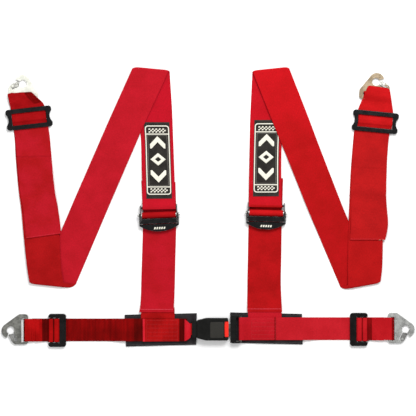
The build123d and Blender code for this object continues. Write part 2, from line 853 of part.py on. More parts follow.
def outer_strap(name, side):
    """From the V fold up through the slide, round the hook's bar and back to its free end."""
    foot = side["outer_foot"]
    slide_x, slide_y, _ = side["slide"]
    heading = math.degrees(math.atan2(slide_y - foot[1], slide_x - foot[0]))
    reach = math.dist(foot, (slide_x, slide_y))
    tail = side["tail_end"] - foot[1]
    level = reach - 70  # where the strap has come down to the surface
    high = FLOOR_Z + FOLD_RISE
    tail_z = FLOOR_Z + FOLD_RISE * (1 - tail / level) + WEB + GAP
    hook_x, hook_y, hook_heading = side["hook"]
    hook_plane = upright((hook_x, hook_y), hook_heading)
    loop = BAR_NEAR + 1.1
    run = upright(foot, heading)
    with BuildPart() as strap:
        webbing(
            [
                (-14, high),
                (0, high),
                (level, FLOOR_Z),
                (reach - 9, FLOOR_Z),
                (reach - 4.2, 5.4),
                (reach + 4.2, 5.4),
                (reach + 9, FLOOR_Z),
                (reach + 16, FLOOR_Z),
            ],
            SHOULDER_WIDTH,
            run,
        )
        webbing(
            [
                (tail, tail_z),
                (level, SECOND_Z),
                (reach - 10.5, SECOND_Z),
                (reach - 4.8, 7.0),
                (reach + 4.8, 7.0),
                (reach + 10.5, SECOND_Z),
                (reach + 16, SECOND_Z),
            ],
            SHOULDER_WIDTH,
            run,
        )
        webbing(
            [
                (loop - 15, FLOOR_Z),
                (loop, FLOOR_Z),
                (loop, HOOK_Z + 2.5),
                (loop - 9, HOOK_Z + 2.5),
                (loop - 13, SECOND_Z),
                (loop - 15, SECOND_Z),
            ],
            SHOULDER_LOOP,
            hook_plane,
        )
        wide = SHOULDER_WIDTH / 2
        near = along(foot, heading, reach + 14)
        far = along((hook_x, hook_y), hook_heading, loop - 13.5)
        corners = [
            along(near, heading + 90, wide),
            along(near, heading - 90, wide),
            along(far, hook_heading - 90, SHOULDER_LOOP / 2),
            along(far, hook_heading + 90, SHOULDER_LOOP / 2),
        ]
        for middle_z in (FLOOR_Z, SECOND_Z):
            with BuildSketch(Plane.XY.offset(middle_z - WEB / 2)):
                with BuildLine():
                    Polyline(*corners, close=True)
                make_face()
            extrude(amount=WEB)
        split(bisect_by=fold_cut(side["v_fold"], -1), keep=Keep.BOTTOM)
        fold_lip(side["v_fold"], 270, 90 - FOLD_QUARTER)
    save(strap, f"{name}_shoulder_outer_strap")


def shoulder_slide(name, side):
    """Black steel three-bar slide with flared corners and waisted ends."""
    x, y, turn = side["slide"]
    place = flat((x, y), 90 + turn, 0)
    length, width = SHOULDER_SLIDE_LONG, SHOULDER_SLIDE_WIDE
    inside = SHOULDER_WIDTH + 1.8
    with BuildPart() as slide:
        with BuildSketch(place.offset(0.3)):
            RectangleRounded(length, width, 6)
            with Locations((0, width / 2 + 13), (0, -width / 2 - 13)):
                Circle(18, mode=Mode.SUBTRACT)
            Rectangle(length + 1, inside, mode=Mode.SUBTRACT)
        extrude(amount=6.7)
        for step in (-1, 1):
            with BuildSketch(place.offset(3.5)):
                with Locations((step * (length / 2 + SHOULDER_WINDOW) / 2, 0)):
                    Rectangle(length / 2 - SHOULDER_WINDOW, inside + 6)
            extrude(amount=3.5)
        fillet(slide.faces().sort_by(Axis.Z)[-1].edges(), 1.0)
        with BuildSketch(place.offset(1.9)):
            Rectangle(2 * SHOULDER_BAR, inside + 4)
        extrude(amount=2.6)
    save(slide, f"{name}_shoulder_slide")


def webbing_bight(name, side):
    """The turn of shoulder webbing over the cam bar."""
    turn_r = CAM_R + 1.4
    angles = range(200, -41, -20)
    arc = [
        (
            CAM_AT + turn_r * math.cos(math.radians(a)),
            CAM_Z + turn_r * math.sin(math.radians(a)),
        )
        for a in angles
    ]
    with BuildPart() as bight:
        webbing(
            [(-10, 2.7), (-3.4, 2.7), *arc],
            SHOULDER_WIDTH,
            upright(side["adjuster"], side["front_heading"]),
        )
    save(bight, f"{name}_shoulder_strap_bight")


for side_name, details in SIDES.items():
    pad(side_name, details)
    sewn_junction(side_name, details)
    lap_strap(side_name, details)
    lap_slide(side_name, details)
    snap_hook(f"{side_name}_lap", details["lap_hook"], details["lap_heading"], details["face"])
    snap_hook(f"{side_name}_shoulder", details["hook"][:2], details["hook"][2], details["face"])
    lower_shoulder(side_name, details)
    adjuster(side_name, details)
    front_strap(side_name, details)
    label(side_name, details)
    diagonal_strap(side_name, details)
    outer_strap(side_name, details)
    shoulder_slide(side_name, details)
    webbing_bight(side_name, details)

lower_cover()
upper_cover()
base_plate()
anchor_loop()
rivets()
release_button()
latch_leaf()
button_springs()
ejector()
tongue()
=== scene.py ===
import math

import bmesh
import bpy
import numpy as np
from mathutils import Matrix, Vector


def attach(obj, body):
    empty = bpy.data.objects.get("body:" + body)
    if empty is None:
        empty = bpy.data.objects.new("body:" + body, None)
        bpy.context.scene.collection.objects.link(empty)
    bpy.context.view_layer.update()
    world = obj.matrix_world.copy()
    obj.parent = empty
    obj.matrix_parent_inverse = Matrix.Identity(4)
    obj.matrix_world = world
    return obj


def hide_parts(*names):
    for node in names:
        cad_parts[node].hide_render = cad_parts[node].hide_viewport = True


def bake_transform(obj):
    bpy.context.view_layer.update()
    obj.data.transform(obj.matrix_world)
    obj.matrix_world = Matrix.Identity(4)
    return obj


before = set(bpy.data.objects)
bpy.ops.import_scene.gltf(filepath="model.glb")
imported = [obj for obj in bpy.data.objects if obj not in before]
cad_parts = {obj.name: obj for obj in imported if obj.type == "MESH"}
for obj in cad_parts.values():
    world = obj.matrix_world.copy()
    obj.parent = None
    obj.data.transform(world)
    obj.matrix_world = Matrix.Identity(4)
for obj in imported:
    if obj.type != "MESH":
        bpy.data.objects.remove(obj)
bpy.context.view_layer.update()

# A four-point racing harness seen from straight above. Lengths below are millimetres in the
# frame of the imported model; MM turns them into metres where a mesh is made.
MM = 0.001
TURN = 2 * math.pi

WEB = 1.4
SHOULDER_HALF = 37.5
LAP_HALF = 25.0
FLOOR_Z = 0.9
SECOND_Z = 2.5
THIRD_Z = 4.1
SEWN_Z = 3.9
LAP_LOW_Z = 5.5
FOLD_R = 2.8
FOLD_Z = FLOOR_Z + FOLD_R
FOLD_TOP = FOLD_Z + FOLD_R
SHOULDER_SLOT = "shoulder_webbing"
HOOK_Z = 3.4
CAM_R = 4.6
CAM_AT = 6.8
CAM_Z = 8.6
ROD_R = 2.6
ROD_AT = 23.2
ROD_Z = 7.0


# ------------------------------------------------------------------ surfaces of webbing


def blur(values, reach):
    """Rounds a line's corners by a moving average; its two ends stay where they are."""
    k = min(int(reach), len(values) - 2)
    if k < 1:
        return values
    head = 2 * values[0] - values[k:0:-1]
    tail = 2 * values[-1] - values[-2 : -k - 2 : -1]
    total = np.cumsum(np.concatenate([values[:1] * 0, head, values, tail]), axis=0)
    return (total[2 * k + 1 :] - total[: -2 * k - 1]) / (2 * k + 1)


def unit(vectors):
    return vectors / np.maximum(np.linalg.norm(vectors, axis=-1, keepdims=True), 1e-9)


def plan_axes(heading):
    """Level directions along a heading in degrees, and to its right."""
    turn = math.radians(heading)
    ahead = np.array([math.cos(turn), math.sin(turn), 0.0])
    return ahead, np.array([ahead[1], -ahead[0], 0.0])


class Strip:
    """A strap's middle surface: its two edges and its normal at places s along it."""

    def __init__(self, left, right, face_up=False, wrinkle=None):
        self.left, self.right = left, right
        middle = (left + right) / 2
        steps = np.linalg.norm(np.diff(middle, axis=0), axis=1)
        self.s = np.concatenate([[0.0], np.cumsum(steps)])
        self.length = self.s[-1]
        self.normal = unit(np.cross(right - left, np.gradient(middle, axis=0)))
        if face_up and self.normal[len(middle) // 2, 2] < 0:
            self.normal = -self.normal
        self.half = np.linalg.norm(right - left, axis=1).mean() / 2
        self.wrinkle = wrinkle

    def at(self, s, t, lift=0.0):
        """The points at places s along it and t across it, from -1 to 1."""
        s, t = np.broadcast_arrays(np.asarray(s, float), np.asarray(t, float))
        pick = lambda rows: np.stack([np.interp(s, self.s, rows[:, k]) for k in range(3)], -1)
        share = ((t + 1) / 2)[..., None]
        rise = lift + (self.wrinkle(s, t) if self.wrinkle else 0.0)
        points = pick(self.left) * (1 - share) + pick(self.right) * share
        return points + unit(pick(self.normal)) * np.broadcast_to(rise, s.shape)[..., None]

    def where(self, x=None, y=None):
        """How far along the strap a given x or y is, on its middle line."""
        middle = (self.left + self.right) / 2
        miss = abs(middle[:, 0] - x) if x is not None else abs(middle[:, 1] - y)
        return self.s[int(np.argmin(miss))]


def laid(rows, heights, soft=12, crisp=2, wrinkle=None):
    """A strip from its edges in plan and its height along the way, both as short tables."""
    rows = np.array(rows, float)
    middle = (rows[:, :2] + rows[:, 2:]) / 2
    s = np.concatenate([[0.0], np.cumsum(np.linalg.norm(np.diff(middle, axis=0), axis=1))])
    fine = np.linspace(0, s[-1], int(s[-1]) + 2)
    plan = blur(np.stack([np.interp(fine, s, rows[:, k]) for k in range(4)], 1), soft)
    at, z = zip(*heights)
    level = blur(np.interp(fine, at, z)[:, None], crisp)
    left, right = np.hstack([plan[:, :2], level]), np.hstack([plan[:, 2:], level])
    return Strip(left, right, True, wrinkle)


def length_of(rows, soft=12):
    """How long a strip with these plan edges is when it lies flat."""
    return laid(rows, [(0, 0), (1, 0)], soft=soft).length


def bent(path, half, origin, heading, soft=1, wrinkle=None):
    """A strip from its side view, a line of (distance along the heading, height)."""
    path = np.array(path, float)
    s = np.concatenate([[0.0], np.cumsum(np.linalg.norm(np.diff(path, axis=0), axis=1))])
    fine = np.linspace(0, s[-1], int(s[-1] * 2) + 2)
    side = blur(np.stack([np.interp(fine, s, path[:, k]) for k in range(2)], 1), soft * 2)
    ahead, across = plan_axes(heading)
    middle = np.array(origin, float) + side[:, :1] * ahead[:2]
    left = np.hstack([middle - half * across[:2], side[:, 1:]])
    right = np.hstack([middle + half * across[:2], side[:, 1:]])
    return Strip(left, right, False, wrinkle)


# ------------------------------------------------------------------ meshes


def piece(name, points, faces, look, body=None, uv=None, sharp=40, closed=True):
    """An object from points in millimetres, riding on a body of the frame."""
    mesh = bpy.data.meshes.new(name)
    mesh.from_pydata((np.asarray(points, float) * MM).tolist(), [], faces)
    if uv is not None:
        layer = mesh.uv_layers.new(name="weave")
        index = np.zeros(len(mesh.loops), np.int32)
        mesh.loops.foreach_get("vertex_index", index)
        layer.data.foreach_set("uv", (np.asarray(uv, np.float32)[index] * MM).ravel())
    if closed:
        work = bmesh.new()
        work.from_mesh(mesh)
        bmesh.ops.recalc_face_normals(work, faces=work.faces)
        work.to_mesh(mesh)
        work.free()
    mesh.shade_smooth()
    mesh.set_sharp_from_angle(angle=math.radians(sharp))
    mesh.materials.append(look)
    made = bpy.data.objects.new(name, mesh)
    bpy.context.scene.collection.objects.link(made)
    if body:
        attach(made, body)
    return made


EDGE = 0.985  # where a selvage starts to round, as a share of the half width
CORNER = 14  # how sharply an end's corner turns; larger is squarer
UNDER_SHIFT = 300  # keeps the weave of the two faces apart


def ring_of(cols):
    """Places round a strap's section: (across, -1 under to 1 on top)."""
    across = EDGE * np.sin(np.linspace(-1.3, 1.3, cols + 1)) / math.sin(1.3)
    top = [(t, 1.0) for t in across]
    return top + [(1.0, 0.0)] + [(t, -1.0) for t in across[::-1]] + [(-1.0, 0.0)]


def skin(name, rows, look, body=None, uv=None, sharp=50):
    """A closed tube from rows of points, each row once round the section."""
    rows = np.asarray(rows, float)
    count, size = rows.shape[:2]
    faces = []
    for j in range(count - 1):
        for i in range(size):
            k = (i + 1) % size
            faces.append((j * size + i, j * size + k, (j + 1) * size + k, (j + 1) * size + i))
    half = size // 2 - 1
    for j in (0, count - 1):
        base = j * size
        for i in range(half):
            faces.append((base + i, base + i + 1, base + size - 3 - i, base + size - 2 - i))
        faces.append((base + half, base + half + 1, base + half + 2))
        faces.append((base, base + size - 2, base + size - 1))
    flat_uv = None if uv is None else np.asarray(uv, float).reshape(-1, 2)
    return piece(name, rows.reshape(-1, 3), faces, look, body, flat_uv, sharp)


def pulled(corner, t):
    """How far a strap's end is drawn in at its corners; a pair gives each selvage its own."""
    low, high = corner if isinstance(corner, tuple) else (corner, corner)
    return np.where(t < 0, low, high) * abs(t) ** CORNER


def ribbon(
    name,
    strip,
    look,
    body=None,
    slot=SHOULDER_SLOT,
    thick=WEB,
    span=None,
    cols=14,
    step=3.0,
    corners=(0, 0),
    shift=0.0,
):
    """Webbing of real thickness along a strip, or along a span of it."""
    first, last = span or (0.0, strip.length)
    ring = ring_of(cols)
    count = max(3, int((last - first) / step) + 1)
    share = np.linspace(0, 1, count)[:, None]
    t = np.array([a for a, _ in ring])[None, :]
    side = np.array([b for _, b in ring])[None, :]
    begin = first + pulled(corners[0], t)
    end = last - pulled(corners[1], t)
    s = begin + (end - begin) * share
    rows = strip.at(s, np.broadcast_to(t, s.shape), side * thick / 2)
    u = np.broadcast_to(t * strip.half + UNDER_SHIFT * (side < 0), s.shape)
    return skin(name, rows, look, body, np.stack([u, s + shift], -1))


def fold(name, low, low_end, high, high_end, outward, look, bodies, corner=2.6):
    """The round bend where one strap run turns over into the next."""
    ring = ring_of(14)
    turn = math.radians(outward)
    out = np.array([math.cos(turn), math.sin(turn), 0.0])
    t = np.array([a for a, _ in ring])
    side = np.array([b for _, b in ring])[:, None]
    ends = []
    for strip, place in ((low, low_end), (high, high_end)):
        pull = pulled(corner, t)
        ends.append(strip.at(place + (pull if place < 1 else -pull), t))
    rows, uv = [], []
    for angle in np.linspace(-90, 90, 15):
        a = math.radians(angle)
        share = (1 + math.sin(a)) / 2
        share = share * share * (3 - 2 * share)
        base = ends[0] * (1 - share) + ends[1] * share
        base[:, 2] = FOLD_Z
        away = out * math.cos(a) + np.array([0, 0, math.sin(a)])
        rows.append(base + away * (FOLD_R + side * WEB / 2))
        uv.append(np.stack([t * SHOULDER_HALF, np.full(len(t), low_end + a * FOLD_R)], -1))
    made = skin(name, rows, look, None, uv)
    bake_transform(made)
    return made


def stitches(name, lines, look, body, length=2.3, gap=1.0, width=0.6, rise=0.35):
    """Rows of thread stitches along lines of points that lie on a surface."""
    points, faces = [], []
    profile = ((-0.5, 0.25, 0.0), (-0.3, 1.0, 0.8), (0.3, 1.0, 0.8), (0.5, 0.25, 0.0))
    for line in lines:
        line = np.asarray(line, float)
        steps = np.linalg.norm(np.diff(line, axis=0), axis=1)
        s = np.concatenate([[0.0], np.cumsum(steps)])
        count = int(s[-1] / (length + gap))
        for n in range(count):
            centre = (n + 0.5) * s[-1] / count
            pick = lambda v: np.array([np.interp(v, s, line[:, k]) for k in range(3)])
            middle = pick(centre)
            ahead = unit(pick(centre + 0.5) - pick(centre - 0.5))
            across = unit(np.cross(ahead, (0, 0, 1)))
            base = len(points)
            for along, wide, high in profile:
                place = middle + ahead * along * length
                points += [
                    place - across * wide * width / 2,
                    place + np.array([0, 0, high * rise]),
                    place + across * wide * width / 2,
                    place - np.array([0, 0, 0.15]),
                ]
            for j in range(3):
                for i in range(4):
                    k = (i + 1) % 4
                    a, b = base + 4 * j, base + 4 * j + 4
                    faces.append((a + i, a + k, b + k, b + i))
            faces.append((base + 3, base + 2, base + 1, base))
            faces.append((base + 12, base + 13, base + 14, base + 15))
    return piece(name, points, faces, look, body, sharp=60)


def divided(ring, cuts):
    """A closed outline with each side cut into its number of equal lengths."""
    sides = zip(ring, np.roll(ring, -1, axis=0), cuts)
    return np.array([a + (b - a) * k / n for a, b, n in sides for k in range(n)])


def raised(name, strip, shapes, look, body, lift, height=0.35):
    """Flat shapes laid on a strip: each is an outer and an inner outline in (s, across) mm."""
    points, faces = [], []
    for outer, inner in shapes:
        outer, inner = np.array(outer, float), np.array(inner, float)
        sides = np.linalg.norm(np.roll(outer, -1, axis=0) - outer, axis=1)
        cuts = [max(1, int(side / 4)) for side in sides]
        outer, inner = divided(outer, cuts), divided(inner, cuts)
        count = len(outer)
        base = len(points)
        layers = []
        for share in (0.0, 0.06, 0.5, 0.94, 1.0):
            flat = outer * (1 - share) + inner * share
            up = 0.0 if share in (0.0, 1.0) else height
            layers.append(strip.at(flat[:, 0], flat[:, 1] / strip.half, lift + up))
        layers.append(strip.at(inner[:, 0], inner[:, 1] / strip.half, lift - 0.1))
        layers.append(strip.at(outer[:, 0], outer[:, 1] / strip.half, lift - 0.1))
        for layer in layers:
            points.extend(layer)
        for j in range(len(layers)):
            a, b = base + j * count, base + ((j + 1) % len(layers)) * count
            for i in range(count):
                k = (i + 1) % count
                faces.append((a + i, a + k, b + k, b + i))
    return piece(name, points, faces, look, body, sharp=50)


# ------------------------------------------------------------------ materials


def add(tree, kind, inputs=(), **settings):
    """A node with its settings and its inputs, given by socket name or number."""
    made = tree.nodes.new(kind)
    for key, value in settings.items():
        setattr(made, key, value)
    for key, value in dict(inputs).items():
        if isinstance(value, bpy.types.NodeSocket):
            tree.links.new(value, made.inputs[key])
        else:
            made.inputs[key].default_value = value
    return made


def start(name, **fixed):
    """A material with a Principled shader whose constant values sit on its own sockets."""
    look = bpy.data.materials.new(name)
    look.use_nodes = True
    tree = look.node_tree
    shader = tree.nodes["Principled BSDF"]
    for key, value in fixed.items():
        shader.inputs[key.replace("_", " ")].default_value = value
    return look, tree, shader


def math_node(tree, operation, *values):
    made = add(tree, "ShaderNodeMath", enumerate(values), operation=operation)
    return made.outputs[0]


def mix_colour(tree, share, first, second, blend="MIX"):
    made = add(tree, "ShaderNodeMix", data_type="RGBA", blend_type=blend)
    for place, value in ((0, share), (6, first), (7, second)):
        if isinstance(value, bpy.types.NodeSocket):
            tree.links.new(value, made.inputs[place])
        else:
            made.inputs[place].default_value = value
    return made.outputs[2]


def noise(tree, scale, detail=2.0, rough=0.5, stretch=(1, 1, 1), source=None):
    place = add(tree, "ShaderNodeTexCoord").outputs["Object"] if source is None else source
    shaped = add(tree, "ShaderNodeMapping", {"Vector": place, "Scale": stretch})
    made = add(
        tree,
        "ShaderNodeTexNoise",
        {"Vector": shaped.outputs[0], "Scale": scale, "Detail": detail, "Roughness": rough},
    )
    return made.outputs[0]


def spread(tree, value, low, high, to_low=0.0, to_high=1.0):
    made = add(
        tree,
        "ShaderNodeMapRange",
        {0: value, 1: low, 2: high, 3: to_low, 4: to_high},
        interpolation_type="SMOOTHSTEP",
    )
    return made.outputs[0]


def bump(tree, shader, height, distance, strength=1.0, **more):
    inputs = {"Height": height, "Distance": distance, "Strength": strength, **more}
    made = add(tree, "ShaderNodeBump", inputs)
    tree.links.new(made.outputs[0], shader.inputs["Normal"])


def edge_mask(tree, radius, low, high):
    """A share that is high on a part's edges, and the normal that rounds them."""
    bevel = add(tree, "ShaderNodeBevel", {0: radius}, samples=4)
    normal = add(tree, "ShaderNodeNewGeometry").outputs["Normal"]
    facing = add(
        tree, "ShaderNodeVectorMath", {0: bevel.outputs[0], 1: normal}, operation="DOT_PRODUCT"
    )
    return spread(tree, facing.outputs["Value"], low, high), bevel.outputs[0]


def linear(red, green, blue):
    """A screen colour from 0 to 255 as the shader's linear colour, under this light."""
    channels = [((c / 255 + 0.055) / 1.055) ** 2.4 if c > 10 else c / 3294.6 for c in (red, green, blue)]
    return tuple(min(0.98, c * LIGHT_SHARE) for c in channels) + (1.0,)


LIGHT_SHARE = 0.82  # how much of a screen colour the base colour needs under these lamps


def webbing(name, bright, deep, fade=None, rib=1.7, rib_depth=0.16, chevron=4.5, bands=0.0):
    """Polyester webbing: cross ribs with a slight chevron, yarns and uneven dye.

    fade is the stretch (from, to) along the strap over which bright turns to deep.
    """
    look, tree, shader = start(name, Roughness=0.7)
    shader.inputs["Specular IOR Level"].default_value = 0.03
    layout = add(tree, "ShaderNodeUVMap", uv_map="weave").outputs[0]
    split = add(tree, "ShaderNodeSeparateXYZ", {0: layout})
    u, v = split.outputs[0], split.outputs[1]
    zig = math_node(tree, "PINGPONG", u, chevron * MM)
    phase = math_node(tree, "MULTIPLY", math_node(tree, "ADD", v, zig), TURN / (rib * MM))
    ribs = math_node(tree, "SINE", phase)
    yarn = math_node(tree, "SINE", math_node(tree, "MULTIPLY", u, TURN / (1.15 * MM)))
    weave = math_node(tree, "ADD", ribs, math_node(tree, "MULTIPLY", yarn, 0.4))
    level = spread(tree, weave, -1.4, 1.4)
    patchy = noise(tree, 26, 3, 0.55)
    streak = noise(tree, 900, 2, 0.6, (1, 0.22, 1), layout)
    fleck = noise(tree, 420, 2, 0.7, (1, 1, 1), layout)
    share = spread(tree, patchy, 0.3, 0.7)
    if fade:
        along = spread(tree, v, fade[1] * MM, fade[0] * MM)
        share = math_node(tree, "MULTIPLY_ADD", share, 0.4, math_node(tree, "MULTIPLY", along, 0.6))
    base = mix_colour(tree, share, linear(*deep), linear(*bright))
    dark = tuple(c * (1 - rib_depth) for c in linear(*deep)[:3]) + (1,)
    ribbed = mix_colour(tree, level, mix_colour(tree, rib_depth, base, dark), base)
    both = math_node(tree, "MULTIPLY", math_node(tree, "ADD", streak, fleck), 0.5)
    tone = spread(tree, both, 0.3, 0.7, 0.80, 1.12)
    if bands:
        column = noise(tree, 150, 2, 0.6, (0.04, 1, 1), layout)
        tone = math_node(tree, "MULTIPLY", tone, spread(tree, column, 0.36, 0.64, 1 - bands, 1 + bands))
        tone = math_node(tree, "MULTIPLY", tone, spread(tree, ribs, -1, 1, 1 - 2.4 * bands, 1 + 2 * bands))
    shade = add(tree, "ShaderNodeCombineColor", {0: tone, 1: tone, 2: tone}).outputs[0]
    tree.links.new(mix_colour(tree, 1.0, ribbed, shade, "MULTIPLY"), shader.inputs["Base Color"])
    tree.links.new(spread(tree, fleck, 0.3, 0.7, 0.62, 0.8), shader.inputs["Roughness"])
    relief = math_node(tree, "ADD", level, math_node(tree, "MULTIPLY", streak, 0.5))
    bump(tree, shader, relief, 0.00022, 0.6)
    return look


def cloth(name, dark, light, pitch, rough=0.85):
    """Plain woven cloth, in the frame's own coordinates."""
    look, tree, shader = start(name, Roughness=rough)
    shader.inputs["Specular IOR Level"].default_value = 0.1
    place = add(tree, "ShaderNodeTexCoord").outputs["Object"]
    split = add(tree, "ShaderNodeSeparateXYZ", {0: place})
    warp = math_node(tree, "SINE", math_node(tree, "MULTIPLY", split.outputs[0], TURN / (pitch * MM)))
    weft = math_node(tree, "SINE", math_node(tree, "MULTIPLY", split.outputs[1], TURN / (pitch * MM)))
    grid = math_node(tree, "MULTIPLY", warp, weft)
    patchy = noise(tree, 60, 3, 0.6)
    fleck = noise(tree, 700, 2, 0.7)
    patches = spread(tree, patchy, 0.3, 0.7, 0, 0.35)
    share = math_node(tree, "ADD", spread(tree, grid, -1, 1, 0, 0.45), patches)
    share = math_node(tree, "ADD", share, spread(tree, fleck, 0.35, 0.7, 0, 0.3))
    tree.links.new(mix_colour(tree, share, dark, light), shader.inputs["Base Color"])
    bump(tree, shader, math_node(tree, "ADD", grid, fleck), 0.00015, 0.5)
    return look


def metal(name, dark, light, rough, grain=300, stretch=(1, 1, 1), scratch=0.3, metallic=1.0):
    """Plated steel with grain, handling marks and edges rubbed brighter."""
    look, tree, shader = start(name, Metallic=metallic, Roughness=rough)
    cloudy = noise(tree, 70, 4, 0.6)
    fine = noise(tree, grain, 3, 0.65, stretch)
    edge, rounded_normal = edge_mask(tree, 0.0007, 0.99, 0.8)
    share = math_node(tree, "MULTIPLY_ADD", fine, scratch, math_node(tree, "MULTIPLY", cloudy, 0.5))
    share = spread(tree, share, 0.25 + scratch * 0.2, 0.3 + scratch * 0.6)
    edge_colour = tuple(min(1.0, c * 1.35 + 0.03) for c in light[:3]) + (1,)
    body = mix_colour(tree, share, dark, light)
    tree.links.new(mix_colour(tree, edge, body, edge_colour), shader.inputs["Base Color"])
    tree.links.new(spread(tree, fine, 0.25, 0.75, rough - 0.08, rough + 0.12), shader.inputs["Roughness"])
    bump(tree, shader, fine, 0.00008, 0.5, Normal=rounded_normal)
    return look


def coated(name, dark, light, rough, edge_colour, grain=900, wear_and_glint=0.5, depth=0.00006, gloss=0.16):
    """Black plastic or paint: fine grain, dull patches and edges rubbed lighter; on the black paint the light
    edges are partly a painted highlight, standing in for glints.
    """
    look, tree, shader = start(name, Roughness=rough)
    shader.inputs["Specular IOR Level"].default_value = gloss
    fine = noise(tree, grain, 2, 0.6)
    cloudy = noise(tree, 90, 3, 0.6)
    edge, rounded_normal = edge_mask(tree, 0.0008, 0.985, 0.75)
    wear_and_glint_share = math_node(tree, "MULTIPLY", edge, spread(tree, cloudy, 0.4, 0.62, 0, wear_and_glint))
    body = mix_colour(tree, spread(tree, fine, 0.3, 0.7), dark, light)
    tree.links.new(mix_colour(tree, wear_and_glint_share, body, edge_colour), shader.inputs["Base Color"])
    tree.links.new(spread(tree, cloudy, 0.3, 0.7, rough - 0.08, rough + 0.12), shader.inputs["Roughness"])
    bump(tree, shader, fine, depth, 0.6, Normal=rounded_normal)
    return look


def thread(name, dark, light):
    look, tree, shader = start(name, Roughness=0.6)
    twist = noise(tree, 2200, 2, 0.6)
    colour = mix_colour(tree, spread(tree, twist, 0.35, 0.65), dark, light)
    tree.links.new(colour, shader.inputs["Base Color"])
    bump(tree, shader, twist, 0.00008, 0.5)
    return look


LAP_WEAVE = dict(rib=2.4, rib_depth=0.3, chevron=60)
FLAT_WEAVE = dict(rib=2.1, chevron=60)
REDS = {
    "left": dict(
        lower=webbing("red_left_lower", (196, 24, 40), (184, 22, 32)),
        front=webbing("red_left_front", (201, 21, 40), (190, 20, 36)),
        diagonal=webbing("red_left_diagonal", (199, 27, 42), (186, 24, 36)),
        # painted shade: the main layer is coloured as a darker copy of this strap's red
        main=webbing("red_left_main_painted_shade", (182, 22, 25), (164, 17, 18)),
        tail=webbing("red_left_tail", (192, 26, 40), (176, 21, 26)),
        panel=webbing("red_left_panel", (182, 18, 24), (160, 12, 15)),
        lap=webbing("red_left_lap", (155, 9, 9), (124, 5, 4), None, 3.4, 0.6, 60, 0.15),
        turned=webbing("red_left_turned", (198, 17, 19), (158, 10, 9), **LAP_WEAVE),
        # painted shade: a much darker copy of the lap red, for hollows, the flanks of humps and the webbing
        # under the turn
        painted_shade=webbing("red_left_painted_shade", (112, 6, 4), (84, 4, 2), **LAP_WEAVE, bands=0.1),
        # painted highlight: a brighter copy of the lap red, for the raised tip and the raised end of the sewn
        # layer
        tip=webbing("red_left_painted_highlight", (224, 38, 54), (210, 28, 40), rib=2.4, rib_depth=0.2, chevron=60),
        sewn=webbing("red_left_sewn", (188, 20, 22), (160, 14, 14), None, 2.4, 0.3, 30, 0.07),
    ),
    "right": dict(
        lower=webbing("red_right_lower", (192, 20, 24), (172, 18, 19)),
        front=webbing("red_right_front", (205, 23, 36), (194, 19, 31)),
        diagonal=webbing("red_right_diagonal", (210, 21, 30), (180, 19, 20), (900, 1150)),
        main=webbing("red_right_main", (190, 23, 24), (178, 20, 21)),
        tail=webbing("red_right_tail", (193, 27, 28), (178, 24, 25)),
        panel=webbing("red_right_panel", (208, 24, 28), (190, 20, 22)),
        lap=webbing("red_right_lap", (207, 34, 45), (195, 28, 38), **FLAT_WEAVE),
        turned=webbing("red_right_turned", (204, 30, 38), (188, 22, 30), **FLAT_WEAVE),
        # painted shade: a much darker copy of the lap red, for hollows, the flanks of humps, under the turn
        # and the end of the sewn layer
        painted_shade=webbing("red_right_painted_shade", (150, 12, 14), (120, 8, 9), **FLAT_WEAVE),
        sewn=webbing("red_right_sewn", (202, 28, 42), (186, 23, 33), **FLAT_WEAVE),
    ),
}
PAD = cloth("pad_cloth", (0.006, 0.005, 0.006, 1), (0.034, 0.030, 0.032, 1), 1.3)
PATCH = cloth("label_cloth", (0.008, 0.007, 0.006, 1), (0.040, 0.036, 0.031, 1), 0.9)
CREAM = thread("cream_thread", (0.62, 0.60, 0.48, 1), (0.86, 0.84, 0.74, 1))
GREY_THREAD = thread("grey_thread", (0.10, 0.095, 0.08, 1), (0.22, 0.21, 0.18, 1))
RED_THREAD = thread("red_thread", (0.42, 0.012, 0.022, 1), (0.78, 0.05, 0.10, 1))
SEWN_THREAD = thread("sewn_thread", (0.22, 0.008, 0.008, 1), (0.46, 0.018, 0.026, 1))
BLACK_THREAD = thread("black_thread", (0.012, 0.012, 0.012, 1), (0.06, 0.06, 0.06, 1))
TAN_THREAD = thread("tan_thread", (0.55, 0.38, 0.2, 1), (0.75, 0.6, 0.4, 1))
COVER = coated(
    "buckle_plastic", (0.001, 0.001, 0.001, 1), (0.005, 0.005, 0.004, 1),
    0.42, (0.10, 0.10, 0.095, 1),
)
PANEL = coated(
    "buckle_panel", (0.012, 0.011, 0.009, 1), (0.036, 0.034, 0.029, 1),
    0.5, (0.1, 0.1, 0.09, 1), 1400,
)
MOULDED = coated(
    "slide_plastic", (0.001, 0.001, 0.001, 1), (0.004, 0.003, 0.003, 1),
    0.34, (0.03, 0.03, 0.035, 1),
)
# The light grey edge colour is partly edge wear and partly a painted highlight standing in for the silver
# glints along the bars.
PAINT = coated(
    "black_paint", (0.001, 0.001, 0.001, 1), (0.003, 0.003, 0.004, 1),
    0.22, (0.45, 0.45, 0.45, 1), 500, 0.8, gloss=0.3,
)
BUTTON = coated(
    "button_plastic", (0.80, 0.020, 0.012, 1), (0.95, 0.035, 0.02, 1),
    0.35, (0.95, 0.2, 0.12, 1), 700, 0.3,
)
GREY = coated("ejector_plastic", (0.35, 0.35, 0.35, 1), (0.5, 0.5, 0.5, 1), 0.5, (0.6, 0.6, 0.6, 1))
STEEL = metal("plated_steel", (0.40, 0.40, 0.38, 1), (0.66, 0.66, 0.64, 1), 0.32)
HOOK_OLIVE = metal("hook_dark_steel", (0.11, 0.11, 0.10, 1), (0.24, 0.24, 0.22, 1), 0.42)
HOOK_ZINC = metal(
    "hook_grained_zinc", (0.16, 0.16, 0.155, 1), (0.52, 0.53, 0.51, 1),
    0.45, 650, (1, 1, 1), 0.7,
)
HOOK_BRIGHT = metal("hook_bright_nickel", (0.74, 0.75, 0.66, 1), (0.86, 0.86, 0.78, 1), 0.42, metallic=0.6)
